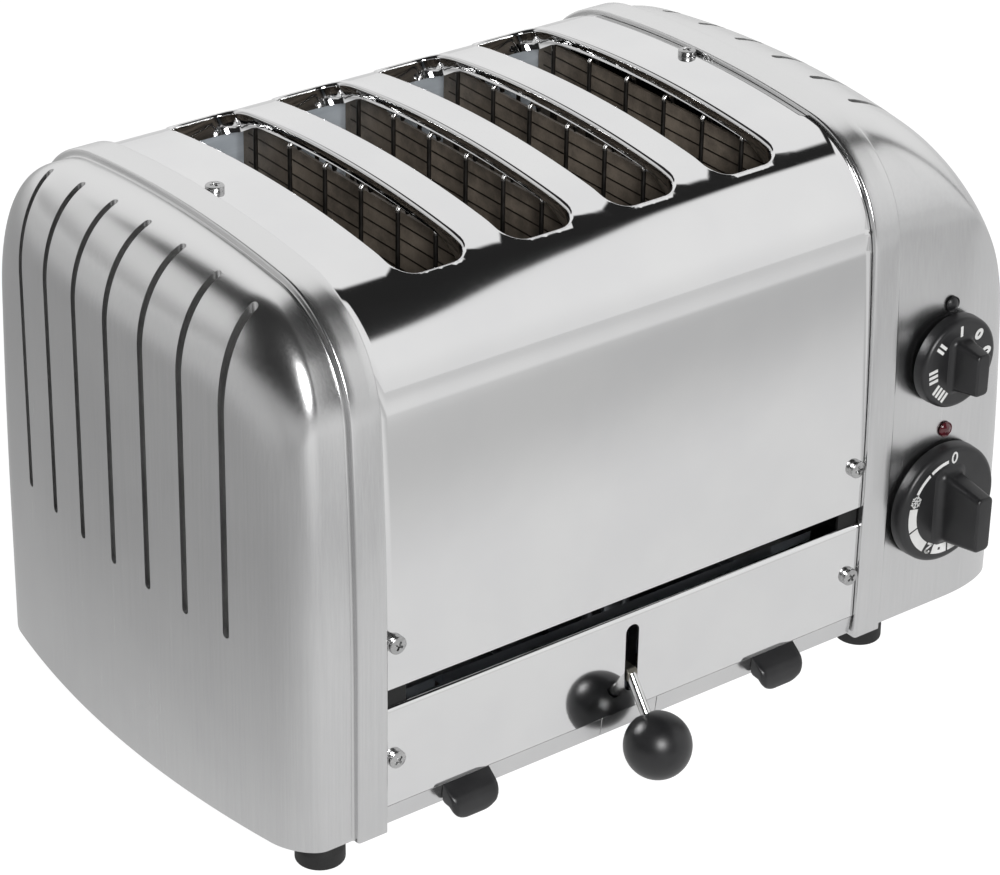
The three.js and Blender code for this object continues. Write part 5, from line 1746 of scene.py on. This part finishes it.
def bright_walls(place, towards):
    """1 where a ray meets the wall behind or the one on the right, 0 elsewhere."""
    across = place.part("X")
    front_edge = across.between(0.50, 0.61) * 0.5 - 0.62
    ahead = (place.part("Y") - front_edge).between(-0.03, 0.03)
    right_wall = across.between(0.40, 0.46) * (1.0 - ahead)
    back_wall = towards(BACK_WALL).between(0.59, 0.64)
    return back_wall.maths("MAXIMUM", back_wall, right_wall)


def studio_world():
    world = bpy.data.worlds.new("studio")
    bpy.context.scene.world = world
    world.use_nodes = True
    tree = world.node_tree
    tree.nodes.clear()
    place = Wire(tree, tree.nodes.new("ShaderNodeTexCoord").outputs["Generated"])
    output = tree.nodes.new("ShaderNodeOutputWorld")
    camera_ray = place.node("ShaderNodeLightPath")

    def towards(direction):
        return place.node("ShaderNodeVectorMath", {"operation": "DOT_PRODUCT"},
                          {0: place, 1: direction}, out=1)

    up = place.part("Z")
    wall = bright_walls(place, towards)
    bright = wall * (up.between(0.0, 0.35) * 0.08 + 0.84)
    side_wall = towards(SIDE_WALL).between(0.77, 0.85) * (up.between(0.05, 0.35) * 0.42 + 0.32)
    low_band = (1.0 - up.between(0.0, 0.12)) * 0.4
    grey = (1.0 - wall) * (side_wall + low_band + 0.02)
    strength = camera_ray + (1.0 - camera_ray) * (bright + grey)
    room = place.node("ShaderNodeBackground", None, {"Color": PLAIN_WHITE, "Strength": strength})
    tree.links.new(room.socket, output.inputs[0])


bpy.context.scene.view_settings.view_transform = "Standard"
studio_world()
print("world", len(bpy.context.scene.world.node_tree.nodes), "nodes")

# %% [markdown]
# ## One soft lamp
# The lamp hangs beside the camera and looks along its own direction towards the object.
# It lights what the walls of the room leave dark, such as the black plastic's face.

# %% Lamp
LAMP_SIZE, LAMP_POWER, LAMP_DISTANCE, LAMP_RISE = 0.4, 12.0, 1.25, 0.1
LAMP_FROM = Vector((-0.354, -0.789, 0.474))
lamp_data = bpy.data.lights.new("soft_lamp", "AREA")
lamp_data.shape = "SQUARE"
lamp_data.size = LAMP_SIZE
lamp_data.energy = LAMP_POWER
lamp = bpy.data.objects.new("soft_lamp", lamp_data)
bpy.context.scene.collection.objects.link(lamp)
lamp_place = LAMP_FROM * LAMP_DISTANCE + Vector((0, 0, LAMP_RISE))
lamp.matrix_world = (Matrix.Translation(lamp_place)
                     @ LAMP_FROM.to_track_quat("Z", "Y").to_matrix().to_4x4())
print("lamp", lamp_data.energy, "W")
